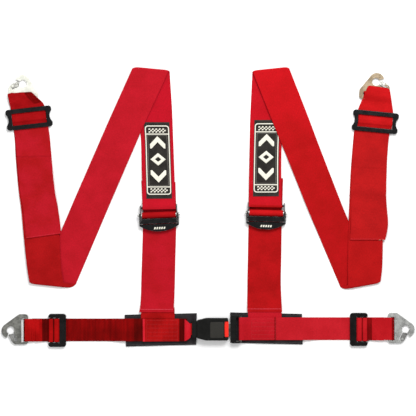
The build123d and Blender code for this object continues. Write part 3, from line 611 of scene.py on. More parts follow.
HOOK_TAN = metal("hook_tan_steel", (0.25, 0.19, 0.12, 1), (0.42, 0.33, 0.22, 1), 0.42, metallic=0.8)
TONGUE_STEEL = metal("tongue_steel", (0.05, 0.047, 0.042, 1), (0.20, 0.19, 0.175, 1), 0.4, 900)
GATE_DARK = metal("gate_dark", (0.06, 0.055, 0.05, 1), (0.30, 0.30, 0.29, 1), 0.42, 500, (1, 1, 1), 0.6)
GATE_BRIGHT = metal("gate_bright", (0.30, 0.29, 0.25, 1), (0.80, 0.80, 0.74, 1), 0.35, 400, (1, 1, 1), 0.6)


# ------------------------------------------------------------------ CAD pieces that stay


def dress(node, look):
    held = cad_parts[node]
    held.data.materials.clear()
    held.data.materials.append(look)


HOOKS = {
    "left_lap": (HOOK_OLIVE, GATE_DARK),
    "right_lap": (HOOK_ZINC, GATE_DARK),
    "left_shoulder": (HOOK_BRIGHT, GATE_BRIGHT),
    "right_shoulder": (HOOK_TAN, GATE_BRIGHT),
}
for name, (plate_look, gate_look) in HOOKS.items():
    dress(f"{name}_hook_plate", plate_look)
    dress(f"{name}_hook_rivet", plate_look)
    dress(f"{name}_hook_gate", gate_look)
    dress(f"{name}_hook_spring", STEEL)
for side in ("left", "right"):
    dress(f"{side}_lap_slide", MOULDED)
    dress(f"{side}_shoulder_slide", PAINT)
    dress(f"{side}_adjuster_frame", PAINT)
    dress(f"{side}_adjuster_lever", PAINT)
    dress(f"{side}_adjuster_cam_bar", STEEL)
for node in ("buckle_lower_cover", "buckle_upper_cover", "tongue_frame"):
    dress(node, COVER)
for node in ("buckle_base_plate", "buckle_rivets", "latch_leaf", "button_springs", "ejector_spring"):
    dress(node, STEEL)
dress("tongue_plate", TONGUE_STEEL)
dress("release_button", BUTTON)
dress("ejector", GREY)


# ------------------------------------------------------------------ the two shoulder straps

# Plan edges of each run, as (left x, left y, right x, right y), in the order named.
# A label is (where it starts, how far it sits aside); creases and folds are (y, breadth, depth).
SHOULDERS = {
    "left": dict(
        front=[
            (-143.9, -6.4, -71.1, -5.2),
            (-144.5, 30, -72.4, 30),
            (-145.9, 80, -74.0, 80),
            (-147.2, 140, -76.2, 140),
            (-151.6, 212, -78.8, 212),
            (-159.6, 304.0, -84.2, 296.2),
        ],
        lower=[
            (-151.5, -232.5, -75.8, -232.5),
            (-148.4, -219, -74.8, -219),
            (-147.4, -195, -73.6, -195),
            (-146.7, -160, -72.6, -160),
            (-145.0, -109, -71.6, -109),
            (-143.4, -56, -70.0, -56),
            (-142.8, -8, -69.8, -8),
            (-142.6, 54, -71.6, 54),
        ],
        root=(-147.5, -73.5),
        diagonal=[
            (-166.5, 303.4, -86.9, 296.8),
            (-221.3, 181.5, -141.6, 177.5),
            (-301.8, -3.3, -219.5, -3.3),
            (-371.6, -167.6, -293.0, -176.8),
        ],
        main=[
            (-392.7, -167.0, -316.1, -174.9),
            (-398.0, -135, -323.2, -140),
            (-402.2, -96, -325.4, -98),
            (-405.8, -60, -326.2, -63),
            (-411.0, -3, -333.5, -3),
            (-415.8, 28, -341.0, 28),
            (-419.6, 67, -345.0, 67),
            (-423.2, 109, -348.6, 113),
            (-425.0, 146, -350.8, 153),
            (-430.0, 188, -356.2, 197),
        ],
        tail=[
            (-400.8, -70.6, -322.7, -59.4),
            (-403.5, -32, -325.8, -28),
            (-407.7, 1, -331.0, 3),
            (-412.6, 28, -336.2, 30),
            (-416.6, 67, -340.4, 67),
            (-420.8, 109, -344.6, 115),
            (-423.6, 146, -347.6, 153),
            (-429.5, 188, -354.4, 197),
        ],
        panel=[(-434.5, 217, -361.0, 226), (-441.5, 248.0, -388.5, 252.5)],
        slide=(-393.4, 194.3, 6.4),
        hook=(-406.6, 270.2, 86.0),
        adjuster=(-107.8, -25.3),
        front_heading=92.4,
        v_out=262.0,
        tip=(2.6, 9.0),
        top_out=82.0,
        folds=[(135, 9, 1.2), (120, 18, -1.0), (40, 40, -1.6)],
        label=(17.2, 0.9),
        crease=[(42, 8, 0.9), (24, 9, 1.3), (-30, 20, -0.9), (75, 22, -0.9)],
        ledge=(110, 2.0, 12),
    ),
    "right": dict(
        front=[
            (89.3, -0.4, 161.6, 0.4),
            (89.6, 40, 161.4, 40),
            (90.4, 80, 161.0, 80),
            (91.2, 125, 161.6, 125),
            (92.5, 190, 164.0, 190),
            (97.7, 295.8, 173.3, 303.6),
        ],
        lower=[
            (86.2, -231.5, 163.0, -231.5),
            (86.3, -206, 161.3, -206),
            (86.6, -162, 160.0, -162),
            (87.8, -109, 161.3, -109),
            (88.7, -56, 161.9, -56),
            (90.0, -8, 162.4, -8),
            (91.0, 54, 160.6, 54),
        ],
        root=(88.0, 162.0),
        diagonal=[
            (98.6, 295.2, 178.6, 303.9),
            (139.3, 192.5, 221.3, 194.5),
            (165.7, 127.8, 245.9, 128.8),
            (218.0, -3.3, 297.0, -3.3),
            (292.6, -180.4, 367.4, -166.6),
        ],
        main=[
            (307.8, -177.7, 379.6, -164.6),
            (307.3, -135, 383.2, -135),
            (308.0, -82, 384.6, -82),
            (309.0, -34, 384.0, -34),
            (311.0, 14, 385.8, 14),
            (313.2, 67, 388.2, 67),
            (316.2, 111, 391.2, 111),
            (319.2, 146, 394.2, 142),
            (323.6, 190, 400.0, 182),
        ],
        tail=[
            (311.7, -73.5, 389.4, -73.5),
            (313.0, -56, 394.0, -56),
            (314.4, -34, 396.4, -34),
            (313.9, -8, 393.8, -8),
            (313.6, 21, 391.6, 21),
            (315.0, 58, 392.4, 58),
            (317.4, 102, 393.9, 102),
            (321.0, 146, 396.8, 142),
            (325.4, 190, 402.0, 182),
        ],
        panel=[(331.0, 217, 407.5, 208), (352.2, 266.4, 399.4, 259.2)],
        slide=(367.9, 186.2, -5.6),
        hook=(369.4, 273.9, 86.0),
        adjuster=(127.6, -20.9),
        front_heading=88.5,
        v_out=278.0,
        tip=(6.0, 2.6),
        top_out=98.0,
        folds=[(128, 9, 1.3), (112, 18, -1.1), (10, 45, -1.6)],
        label=(21.8, 1.8),
        crease=[(34, 13, -2.4), (-14, 10, 0.8), (-46, 16, -2.8)],
        ledge=(86, 1.0, 9),
    ),
}


def dips(strip, marks, slant=0.0, ledge=None):
    """Soft creases across a strap: a wrinkle function from (y, breadth, depth) marks.

    ledge is (y, height, reach): a sharp crease that stands up on its far side.
    """
    places = [(strip.where(y=y), breadth, depth) for y, breadth, depth in marks]
    kink = strip.where(y=ledge[0]) if ledge else 0.0

    def wrinkle(s, t):
        fall = 0.0
        for place, breadth, depth in places:
            fall = fall - depth * np.exp(-(((s - place + slant * t) / breadth) ** 2))
        if ledge:
            past = s - kink + slant * t
            fall = fall + ledge[1] * np.exp(-np.clip(past, 0, None) / ledge[2]) / (1 + np.exp(-past / 0.5))
        return fall

    return wrinkle


def slow_waves(seed, height, along, sideways=1.3):
    """Gentle unevenness of cloth that lies loose."""
    rng = np.random.default_rng(seed)
    bounds = ((0.6, 1.6), (0, TURN), (-sideways, sideways))
    terms = [[rng.uniform(*pair) for pair in bounds] for _ in range(4)]

    def wrinkle(s, t):
        total = 0.0
        for rate, phase, lean in terms:
            total = total + np.sin(TURN * s * rate / along + phase + lean * t)
        return height * total / 4

    return wrinkle


def strap_root(name, side):
    left_x, right_x = side["root"]
    red, body = REDS[name]["sewn"], f"{name}_lower"
    under = laid(
        [(left_x, -250, right_x, -250), (left_x, -222, right_x, -222)],
        [(0, SEWN_Z), (11, SEWN_Z), (28, SEWN_Z - 0.4)],
        soft=1,
    )
    ribbon(f"{name}_lower_root", under, red, body, span=(7, under.length), step=3.0)
    flexing = ribbon(f"{name}_root_flex", under, red, None, span=(0, 7.2), step=1.5)
    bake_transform(flexing)


# from the sewn root to its free end behind the front strap
def lower_strap(name, side):
    hem_line = [(s, SEWN_Z + z) for s, z in ((0, 1.2), (4, 1.0), (6.5, 2.0), (9.5, 0.9), (20, -0.2))]
    level = hem_line + [(44, FLOOR_Z), (length_of(side["lower"]), FLOOR_Z)]
    lower = laid(side["lower"], level, wrinkle=slow_waves(3, 0.10, 90))
    body = f"{name}_lower"
    ribbon(f"{name}_lower_webbing", lower, REDS[name]["lower"], body, shift=40)
    strap_root(name, side)
    hem = [lower.at(6.4, np.linspace(-0.97, 0.97, 40), WEB / 2)]
    stitches(f"{name}_hem_stitches", hem, RED_THREAD, body, 2.6, 0.5, 1.2, 0.5)
    return lower


# the strap's end turned round the adjuster's rod and sewn down behind
def rod_loop(name, side, front):
    body = f"{name}_front"
    near = ROD_AT - ROD_R - 1.0
    low, high = ROD_Z - ROD_R - 1.0, ROD_Z + ROD_R + 1.0
    loop = bent(
        [(84, SECOND_Z), (36, SECOND_Z), (ROD_AT + 2, low), (near, low), (near, high), (near + 4.5, high)],
        SHOULDER_HALF - 2.2,
        side["adjuster"],
        side["front_heading"],
        soft=1.6,
    )
    ribbon(f"{name}_front_loop", loop, REDS[name]["lower"], body, step=1.5, cols=6, shift=380)
    rows = [front.at(s, np.linspace(-0.9, 0.9, 36), WEB / 2) for s in (52, 56)]
    stitches(f"{name}_loop_stitches", rows, RED_THREAD, body)


# the turn of webbing over the adjuster's cam bar
def cam_turn(name, side):
    around = CAM_R + 1.4
    turns = [math.radians(a) for a in range(200, -41, -10)]
    arc = [(CAM_AT + around * math.cos(a), CAM_Z + around * math.sin(a)) for a in turns]
    path = [(-10, 2.7), (-3.4, 2.7)] + arc
    bight = bent(path, SHOULDER_HALF - 0.4, side["adjuster"], side["front_heading"], soft=1)
    red = REDS[name]["panel"]
    made = ribbon(f"{name}_cam_webbing", bight, red, f"{name}_front", step=1.2, cols=6, shift=330)
    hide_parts(f"{name}_shoulder_strap_bight")


# from the adjuster's rod up to the top fold
def front_strap(name, side):
    rod_top = ROD_Z + ROD_R
    heights = [(0, rod_top + 1.0), (6, rod_top + 0.4), (22, THIRD_Z + 0.3), (66, THIRD_Z)]
    heights += [(130, FLOOR_Z), (length_of(side["front"]), FLOOR_Z)]
    front = laid(side["front"], heights, soft=16, crisp=5, wrinkle=slow_waves(5, 0.06, 120))
    red, body = REDS[name]["front"], f"{name}_front"
    ribbon(f"{name}_front_webbing", front, red, body, corners=(0, 2.6), shift=400)
    rod_loop(name, side, front)
    return front


# over the front strap and down to the lower fold
def diagonal_strap(name, side, front):
    red, body = REDS[name]["diagonal"], f"{name}_diagonal"
    end = length_of(side["diagonal"])
    heights = [(0, FOLD_TOP), (4, FOLD_TOP), (end - 10, FLOOR_Z), (end, FLOOR_Z)]
    diagonal = laid(side["diagonal"], heights, soft=20, crisp=6)
    diagonal.wrinkle = dips(diagonal, side["folds"], 14.0)
    corners = (2.6, side["tip"])
    made = ribbon(f"{name}_diagonal_webbing", diagonal, red, body, corners=corners, shift=900)
    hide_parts(f"{name}_shoulder_diagonal_strap")
    joined = (f"{name}_front", body)
    fold(f"{name}_top_fold", front, front.length, diagonal, 0.0, side["top_out"], red, joined)
    return diagonal


# the outer run's main layer, from the lower fold to the slide
def outer_main(name, side, diagonal):
    red, outer = REDS[name]["main"], f"{name}_outer"
    end = length_of(side["main"])
    heights = [(0, FOLD_TOP), (4, FOLD_TOP), (end - 55, FLOOR_Z), (end, FLOOR_Z)]
    main = laid(side["main"], heights, soft=14, crisp=6)
    ribbon(f"{name}_outer_main", main, red, outer, corners=(side["tip"], 0), shift=1500)
    ends = (diagonal, diagonal.length, main, 0.0)
    fold(f"{name}_lower_fold", *ends, side["v_out"], red, (f"{name}_diagonal", outer), side["tip"])
    return main


# the tail lies on the main layer
def outer_tail(name, side, main):
    outer = f"{name}_outer"
    drop = main.at(main.where(y=side["tail"][0][1]), 0.0)[2]
    gap = WEB + 0.25
    end = length_of(side["tail"])
    tail_z = [(0, drop + gap + 0.5), (18, drop + gap - 0.18)]
    tail_z += [(end - 55, SECOND_Z + 0.1), (end, SECOND_Z)]
    tail = laid(side["tail"], tail_z, soft=10, crisp=6)
    fall = dips(tail, side["crease"], 2.0, side["ledge"])
    lumps = slow_waves(11 if name == "left" else 12, 0.25, 150)
    tail.wrinkle = lambda s, t: fall(s, t) * 0.8 + lumps(s, t)
    cut = tail.length - 6
    red = REDS[name]["tail"]
    made = ribbon(f"{name}_outer_tail", tail, red, None, span=(0, cut), step=1.5, shift=2100)
    ends = [tail.at(place, 0.0) * MM for place in (cut - 34, cut)]
    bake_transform(made)
    rows = [tail.at(2.0, np.linspace(-0.96, 0.96, 40), WEB / 2)]
    stitches(f"{name}_tail_stitches", rows, RED_THREAD, outer)
    if name == "right":
        thread_ends(name, tail)
    return tail


def thread_ends(name, tail):
    x, y, z = tail.at(0.4, 0.62)
    ends = [[(x, y + 0.4, z + 0.8), (x + 6, y - 0.8, z)]]
    ends += [[(x + 8, y + 0.3, z + 0.8), (x + 12.5, y - 1.2, z)]]
    made = f"{name}_thread_ends"
    stitches(made, np.array(ends), TAN_THREAD, f"{name}_outer", 4.0, 0.8, 1.0, 0.8)


# the webbing over the slide's middle bar moves with the slide
def slide_webbing(name, side):
    x, y, turn = side["slide"]
    hump = bent(
        [(-12.5, 2.6), (-8, 3.4), (-4.6, 6.0), (4.6, 6.0), (8, 3.4), (12.5, 2.6)],
        SHOULDER_HALF,
        (x, y),
        90 + turn,
        soft=2,
    )
    hump.wrinkle = slow_waves(21 if name == "left" else 22, 0.22, 14, 5)
    red, slider = REDS[name]["panel"], f"{name}_shoulder_slider"
    ribbon(f"{name}_slide_webbing", hump, red, slider, step=1.2, cols=14, shift=60)


# above the slide it is gathered and turned round the hook's bar
def gathered_webbing(name, side):
    rows = side["panel"]
    pleat = slow_waves(31, 1.3, 40, 7) if name == "left" else slow_waves(32, 0.6, 50, 3)

    def gathered(s, t):
        share = np.clip((s - 22) / 12, 0, 1)
        return share * pleat(s, t)

    panel_low = laid([side["main"][-1], *rows], [(0, FLOOR_Z), (90, FLOOR_Z)], soft=4)
    end = length_of([side["tail"][-1], *rows], soft=4)
    rise = [(0, SECOND_Z), (end - 33, SECOND_Z), (end - 20, HOOK_Z + 4.2)]
    rise += [(end - 6, HOOK_Z + 4.4), (end, HOOK_Z + 3.4)]
    panel_high = laid([side["tail"][-1], *rows], rise, soft=4, crisp=3, wrinkle=gathered)
    hook_webbing(name, side, panel_low, panel_high)


def shoulder_strap(name, side):
    lower = lower_strap(name, side)
    front = front_strap(name, side)
    cam_turn(name, side)
    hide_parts(f"{name}_shoulder_lower_strap")
    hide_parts(f"{name}_shoulder_front_strap")
    diagonal = diagonal_strap(name, side, front)
    main = outer_main(name, side, diagonal)
    tail = outer_tail(name, side, main)
    slide_webbing(name, side)
    gathered_webbing(name, side)
    label(name, side, front)
    tab_marks(name, side)
    adjuster_pins(name, side)
    runs = dict(front_webbing=front, diagonal_webbing=diagonal, outer_main=main)
    runs.update(outer_tail=tail, lower_webbing=lower)
    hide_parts(f"{name}_shoulder_outer_strap")



def solid_marks(name, place, outlines, look, body, height=0.35, sink=0.15):
    """Flat marks laid on a surface: place turns outline points into (point, normal)."""
    points, faces = [], []
    for outline in outlines:
        outline = np.array(outline, float)
        count, base = len(outline), len(points)
        surface, up = place(outline)
        inner = outline * 0.94 + outline.mean(0) * 0.06
        crown, _ = place(inner)
        points.extend(surface - up * sink)
        points.extend(surface + up * height * 0.6)
        points.extend(crown + up * height)
        for j in range(2):
            for i in range(count):
                k = (i + 1) % count
                a, b = base + j * count, base + (j + 1) * count
                faces.append((a + i, a + k, b + k, b + i))
        faces.append(tuple(base + 2 * count + i for i in range(count)))
        faces.append(tuple(base + i for i in range(count))[::-1])
    return piece(name, points, faces, look, body, sharp=50)


def over(strip, lift):
    """Places marks on a strip: outline points are (along, across) in millimetres."""

    def place(outline):
        surface = strip.at(outline[:, 0], outline[:, 1] / strip.half, lift)
        return surface, np.array([0.0, 0.0, 1.0])

    return place


def rounded(low, high, half, radius, steps=5):
    """A rounded rectangle's outline from low to high along, and half across."""
    corners = ((high, half, 0), (high, -half, -90), (low, -half, 180), (low, half, 90))
    outline = []
    for s, w, first in corners:
        ds, dw = (-radius if s == high else radius), (-radius if w > 0 else radius)
        for k in range(steps + 1):
            a = math.radians(first + 90 - 90 * k / steps)
            outline.append((s + ds + radius * math.cos(a), w + dw + radius * math.sin(a)))
    return outline


def box_outline(s0, s1, w0, w1, lean=0.0):
    return [(s0, w0), (s0, w1), (s1, w1 + lean), (s1, w0 + lean)]


LABEL_HALF = 28.4
LABEL_LONG = 168.5


def label(name, side, front):
    """Woven patch with a cream border, checkered end panels and three plain shapes."""
    begin, shift = side["label"]
    first = front.where(y=begin)
    s = np.linspace(first, first + LABEL_LONG, 60)
    lift = WEB / 2 + 0.3
    edge = [front.at(s, (sign * LABEL_HALF + shift) / front.half, lift) for sign in (-1, 1)]
    cloth_strip = Strip(edge[0], edge[1], True)
    body = f"{name}_front"
    slot = "label_fabric"
    patch = ribbon(f"{name}_label_cloth", cloth_strip, PATCH, body, slot, thick=0.6, cols=8, step=4)
    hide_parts(f"{name}_label_patch")
    on = over(cloth_strip, 0.3)
    end = LABEL_LONG
    frames = [
        (rounded(8.6, end - 7.4, 26.6, 6.5), rounded(10.9, end - 9.7, 24.3, 4.6)),
    ]
    raised(f"{name}_label_border", cloth_strip, frames, CREAM, body, 0.3, 0.3)
    bars = [box_outline(s0, s0 + 2.2, -24.6, 24.6) for s0 in (24.6, end - 27.4)]
    field = [rounded(28.6, end - 29.2, 21.6, 1.0), rounded(29.3, end - 29.9, 20.9, 0.6)]
    raised(f"{name}_label_field", cloth_strip, [field], GREY_THREAD, body, 0.3, 0.2)
    squares = []
    for low in (13.6, end - 23.2):
        for row in range(3):
            for col in range(10):
                if (row + col) % 2 == 0:
                    w0, s0 = -19.0 + 3.8 * col, low + 3.1 * row
                    squares.append(box_outline(s0, s0 + 3.0, w0, w0 + 3.6, 0.8))
    solid_marks(f"{name}_label_lines", on, bars + squares, CREAM, body, 0.3)
    chevron = [(13.5, 0), (-4.0, 17), (-13.5, 17), (-13.5, 14), (1.0, 0), (-13.5, -14), (-13.5, -17)]
    chevron += [(-4.0, -17)]
    shapes = [[(middle + up * s, w) for s, w in chevron] for middle, up in ((end - 44.5, 1), (49.0, -1))]
    solid_marks(f"{name}_label_arrows", on, shapes, CREAM, body, 0.45)
    middle = (end - 44.5 + 49.0) / 2
    ring = [
        [(middle + long, 0), (middle, wide), (middle - long, 0), (middle, -wide)]
        for long, wide in ((14, 17), (5.5, 7))
    ]
    raised(f"{name}_label_diamond", cloth_strip, [ring], CREAM, body, 0.3, 0.45)
    rim = [cloth_strip.at(np.linspace(1.2, end - 1.2, 90), t, 0.3) for t in (-0.965, 0.965)]
    rim += [cloth_strip.at(place, np.linspace(-0.96, 0.96, 30), 0.3) for place in (1.2, end - 1.2)]
    stitches(f"{name}_label_stitches", rim, BLACK_THREAD, body, 2.0, 0.8, 0.7, 0.3)


def tab_marks(name, side):
    """Slanted bars printed on the adjuster's lever tab."""
    x, y = side["adjuster"]
    ahead, across = plan_axes(side["front_heading"])

    def place(outline):
        centre = np.array([x, y, 9.5])
        flat = centre + outline[:, :1] * ahead + outline[:, 1:] * across
        return flat, np.array([0.0, 0.0, 1.0])

    bars = [box_outline(-24.4, -19.8, w - 1.6, w + 1.6, 1.4) for w in (-10.4, -5.2, 0, 5.2, 10.4)]
    solid_marks(f"{name}_tab_marks", place, bars, CREAM, f"{name}_lever", 0.12)


def dome(name, centre, axis, radius, height, look, body, slot):
    """A pin's rounded head, standing out along an axis."""
    axis = unit(np.array(axis, float))
    side = unit(np.cross(axis, (0.3, 0.2, 1.0)))
    other = np.cross(axis, side)
    points = []
    for wide, out in ((1.0, -0.4), (1.0, 0.3), (0.82, 0.75), (0.45, 0.97), (0.1, 1.0)):
        for k in range(16):
            a = TURN * k / 16
            ring = side * math.cos(a) + other * math.sin(a)
            points.append(np.array(centre) + ring * wide * radius + axis * out * height)
    faces = []
    for j in range(4):
        for i in range(16):
            k = (i + 1) % 16
            faces.append((j * 16 + i, j * 16 + k, (j + 1) * 16 + k, (j + 1) * 16 + i))
    faces += [tuple(range(16))[::-1], tuple(range(64, 80))]
    return piece(name, points, faces, look, body, sharp=60)


def adjuster_pins(name, side):
    """Steel pin heads outside the adjuster's flanges."""
    x, y = side["adjuster"]
    ahead, across = plan_axes(side["front_heading"])
    for sign, word in ((-1, "near"), (1, "far")):
        out = across * sign
        place = (STEEL, f"{name}_lever", "adjuster_steel")
        centre = np.array([x, y, CAM_Z]) + ahead * CAM_AT + out * 43.5
        dome(f"{name}_pin_{word}", centre, out, 2.6, 1.7, *place)
        centre = np.array([x, y, 7.4]) - ahead * 7.5 + out * 43.4
        dome(f"{name}_stud_{word}", centre, out, 1.9, 1.3, *place)


def hook_webbing(name, side, panel_low, panel_high):
    """Shoulder webbing between the slide and the hook: gathered and turned round its bar."""
    red = REDS[name]["panel"]
    x, y, heading = side["hook"]
    pieces = []
    for part, strip, cols, step in (("low", panel_low, 14, 2.0), ("high", panel_high, 16, 1.6)):
        cut = strip.where(y=y - 47)
        end = strip.length - (22 if part == "low" else 0)
        fine = dict(cols=cols, step=step, shift=3100)
        near = ribbon(f"{name}_panel_{part}_near", strip, red, None, span=(0, cut), **fine)
        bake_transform(near)
        fine.update(span=(cut - 0.1, end), corners=(0, 3 if part == "high" else 0))
        pieces.append(ribbon(f"{name}_panel_{part}", strip, red, None, **fine))
    if name == "left":
        flap = laid(
            [
                (-382.0, 226.5, -367.0, 231.0),
                (-386.0, 231, -371.5, 235.5),
                (-397, 241, -379.5, 244.0),
                (-404, 251, -389.5, 252.0),
            ],
            [(0, 5.4), (7, 7.6), (16, HOOK_Z + 6.0), (60, HOOK_Z + 6.2)],
            soft=3,
            wrinkle=slow_waves(33, 0.8, 18, 3),
        )
        fine = dict(cols=8, step=1.4, corners=(2, 3), shift=3700)
        pieces.append(ribbon(f"{name}_panel_flap", flap, REDS[name]["lap"], None, **fine))
    loop = bent(
        [(-47, FLOOR_Z), (-27.2, FLOOR_Z), (-25.6, 3.4), (-25.3, 6.2), (-22, 7.0)],
        25.6,
        (x, y),
        heading,
        soft=1.2,
    )
    pieces.append(ribbon(f"{name}_hook_loop", loop, red, None, step=1.5, shift=3500))
    for made in pieces:
        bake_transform(made)


for side_name, details in SHOULDERS.items():
    shoulder_strap(side_name, details)


# ------------------------------------------------------------------ the lap belt

LAPS = {
    "left": dict(sign=-1, heading=180, y=-271.4, slide_y=-272.4, edge=184.5, hook_y=-271.9, loop_at=404.8),
    "right": dict(sign=1, heading=0, y=-268.7, slide_y=-270.3, edge=208.5, hook_y=-268.8, loop_at=408.8),
}
LAP_BAR = 434.3 - 35.35
LAP_SLOT = "lap_webbing"
PADS = {
    "left": [(-183.3, -238.0, -180.4, -308.2), (-104, -236.5, -103, -306.0), (-24.6, -234.5, -26.0, -304.2)],
    "right": [(48.8, -232.8, 48.8, -299.8), (128, -234.6, 128, -301.8), (206.6, -236.2, 208.2, -303.4)],
}


# one run of webbing from the sewn end out to the hook
def lap_run(name, lap):
    sign, edge, reds = lap["sign"], lap["edge"], REDS[name]
    junction, body = f"{name}_junction", f"{name}_lap"
    if sign < 0:
        head = [(46, 7.6), (54, 6.3), (60, LAP_LOW_Z)]
    else:
        head = [(76, 6.4), (90, LAP_LOW_Z)]
    out = [(edge + 5, LAP_LOW_Z), (edge + 34, FLOOR_Z), (LAP_BAR - 14, FLOOR_Z), (LAP_BAR - 2, FLOOR_Z)]
    uneven = slow_waves(41 if sign < 0 else 42, 0.16, 60)
    run = bent(head + out, LAP_HALF, (0, lap["y"]), lap["heading"], soft=6, wrinkle=uneven)
    cut = [run.where(x=sign * u) for u in (edge - 6, edge + 9, LAP_BAR - 12)]
    shaded = run.where(x=-163) if sign < 0 else cut[0] - 8
    # On the left, the run's first stretch beside the junction takes the darker red: painted shade beside the
    # sewn layer's raised end.
    under = reds["painted_shade" if sign < 0 else "lap"]
    ribbon(f"{name}_sewn_under", run, under, junction, LAP_SLOT, span=(0, shaded))
    ribbon(f"{name}_sewn_low", run, reds["lap"], junction, LAP_SLOT, span=(shaded - 0.1, cut[0]))
    bend = (cut[0] - 0.1, cut[1])
    flexing = ribbon(f"{name}_lap_flex", run, reds["lap"], None, LAP_SLOT, span=bend, step=2)
    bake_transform(flexing)
    strap = ribbon(f"{name}_lap_webbing", run, reds["lap"], body, LAP_SLOT, span=(cut[1] - 0.1, cut[2]))
    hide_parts(f"{name}_lap_strap")


# round the hook's bar
def lap_turn(name, lap):
    sign, out = lap["sign"], lap["loop_at"]
    turn = bent(
        [(LAP_BAR - 12.5, FLOOR_Z), (out - 0.8, FLOOR_Z), (out, 1.8), (out, 5.2), (out - 1.2, 6.1)]
        + [(LAP_BAR - 2, 6.2), (LAP_BAR - 12, 5.4)],
        LAP_HALF - 0.3,
        (0, lap["hook_y"]),
        lap["heading"],
        soft=1.0,
    )
    if sign < 0:
        ripple = slow_waves(53, 2.2, 15, 2.2)
        turn.wrinkle = lambda s, t: ripple(s, t) * np.clip((s - 20) / 6, 0, 1)
    crest = turn.length - (404.0 if sign > 0 else 402.5) + LAP_BAR - 12
    # The run into the turn, up to the crest, takes the darker red as painted shade under the turn; the top
    # takes the return's red.
    parts = (("under", "painted_shade", (0, crest)), ("top", "turned", (crest - 0.1, turn.length)))
    for part, look, span in parts:
        fine = dict(step=1.3, span=span, shift=500)
        loop = ribbon(f"{name}_lap_loop_{part}", turn, REDS[name][look], None, LAP_SLOT, **fine)
        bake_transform(loop)


# from the hook's bar back to the slide, on top
def lap_return(name, lap):
    sign = lap["sign"]
    rumple = slow_waves(51, 2.6, 13, 1.8) if sign < 0 else slow_waves(52, 0.3, 60)
    back = bent(
        [(LAP_BAR - 11.7, 5.45), (370, 4.9), (363.5, 4.4), (358.5, 2.6), (351.8, 2.6)],
        LAP_HALF - 0.2,
        (0, (lap["hook_y"] + lap["slide_y"]) / 2),
        lap["heading"],
        soft=1.6,
    )
    calm = back.length
    back.wrinkle = lambda s, t: rumple(s, t) * np.clip(s / 4, 0, 1) * np.clip((calm - 7 - s) / 5, 0, 1)
    # Where the return falls towards the slide it takes the darker red: painted shade in the hollow before the
    # slide.
    painted_shade_from = back.where(x=sign * (364.5 if sign < 0 else 360.5))
    for part, look, span in (("return", "turned", (0, painted_shade_from)), ("painted_shade", "painted_shade", (painted_shade_from - 0.05, calm))):
        fine = dict(step=1.0, span=span, shift=700)
        made = ribbon(f"{name}_lap_{part}", back, REDS[name][look], None, LAP_SLOT, **fine)
        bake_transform(made)


# over the slide's middle and outer bars
def lap_over_slide(name, lap):
    sign, slider = lap["sign"], f"{name}_lap_slider"
    over_middle = [(326.7, 2.6), (329.6, 5.5), (336.6, 5.5), (339.8, 2.6)]
    over_outer = [(338.9, 5.3), (340.8, 6.5), (348.4, 6.5), (350.8, 4.0), (353.0, 2.7)]
    for part, path, ends in (("middle", over_middle, (338.0, None)), ("outer", over_outer, (341.2, 349.2))):
        hump = bent(path, LAP_HALF + 0.6, (0, lap["slide_y"]), lap["heading"], soft=0.9)
        marks = [0.0, *(hump.where(x=sign * u) for u in ends if u), hump.length]
        # Each hump's flanks take the darker red as painted shade; its crest takes the return's red.
        looks = ("turned", "painted_shade") if part == "middle" else ("painted_shade", "turned", "painted_shade")
        for k, look in enumerate(looks):
            fine = dict(step=0.9, span=(max(0.0, marks[k] - 0.05), marks[k + 1]), shift=900)
            ribbon(f"{name}_lap_over_{part}_{k}", hump, REDS[name][look], slider, LAP_SLOT, **fine)


# the return stitched down on top: its shape and the stretch that is stitched
def sewn_return(lap):
    if lap["sign"] < 0:
        rows = [
            (-38.4, -258.8, -38.4, -287.4),
            (-44.0, -253.0, -44.0, -292.6),
            (-50.5, -247.8, -50.5, -295.8),
            (-60.0, -246.7, -60.0, -296.3),
            (-143.5, -246.9, -143.0, -296.9),
        ]
        heights = [(0, 10.2), (5, 12.6), (9, 12.2), (15, 7.9), (22, 7.1), (96, 7.1), (102.5, 8.6), (106, 7.6)]
        return laid(rows, heights, soft=2, crisp=2, wrinkle=slow_waves(61, 0.12, 30)), (30, 98)
    path = [(86, 6.2), (78, 6.4), (69.6, 6.6), (68.5, 8.0), (68.5, 11.6), (69.6, 13.0)]
    path += [(76, 12.6), (88, 7.6), (96, 7.1), (143, 7.1), (148.4, 7.7)]
    waves = slow_waves(62, 0.10, 40)
    return bent(path, LAP_HALF, (0, lap["y"]), lap["heading"], soft=1.6, wrinkle=waves), (50, 104)


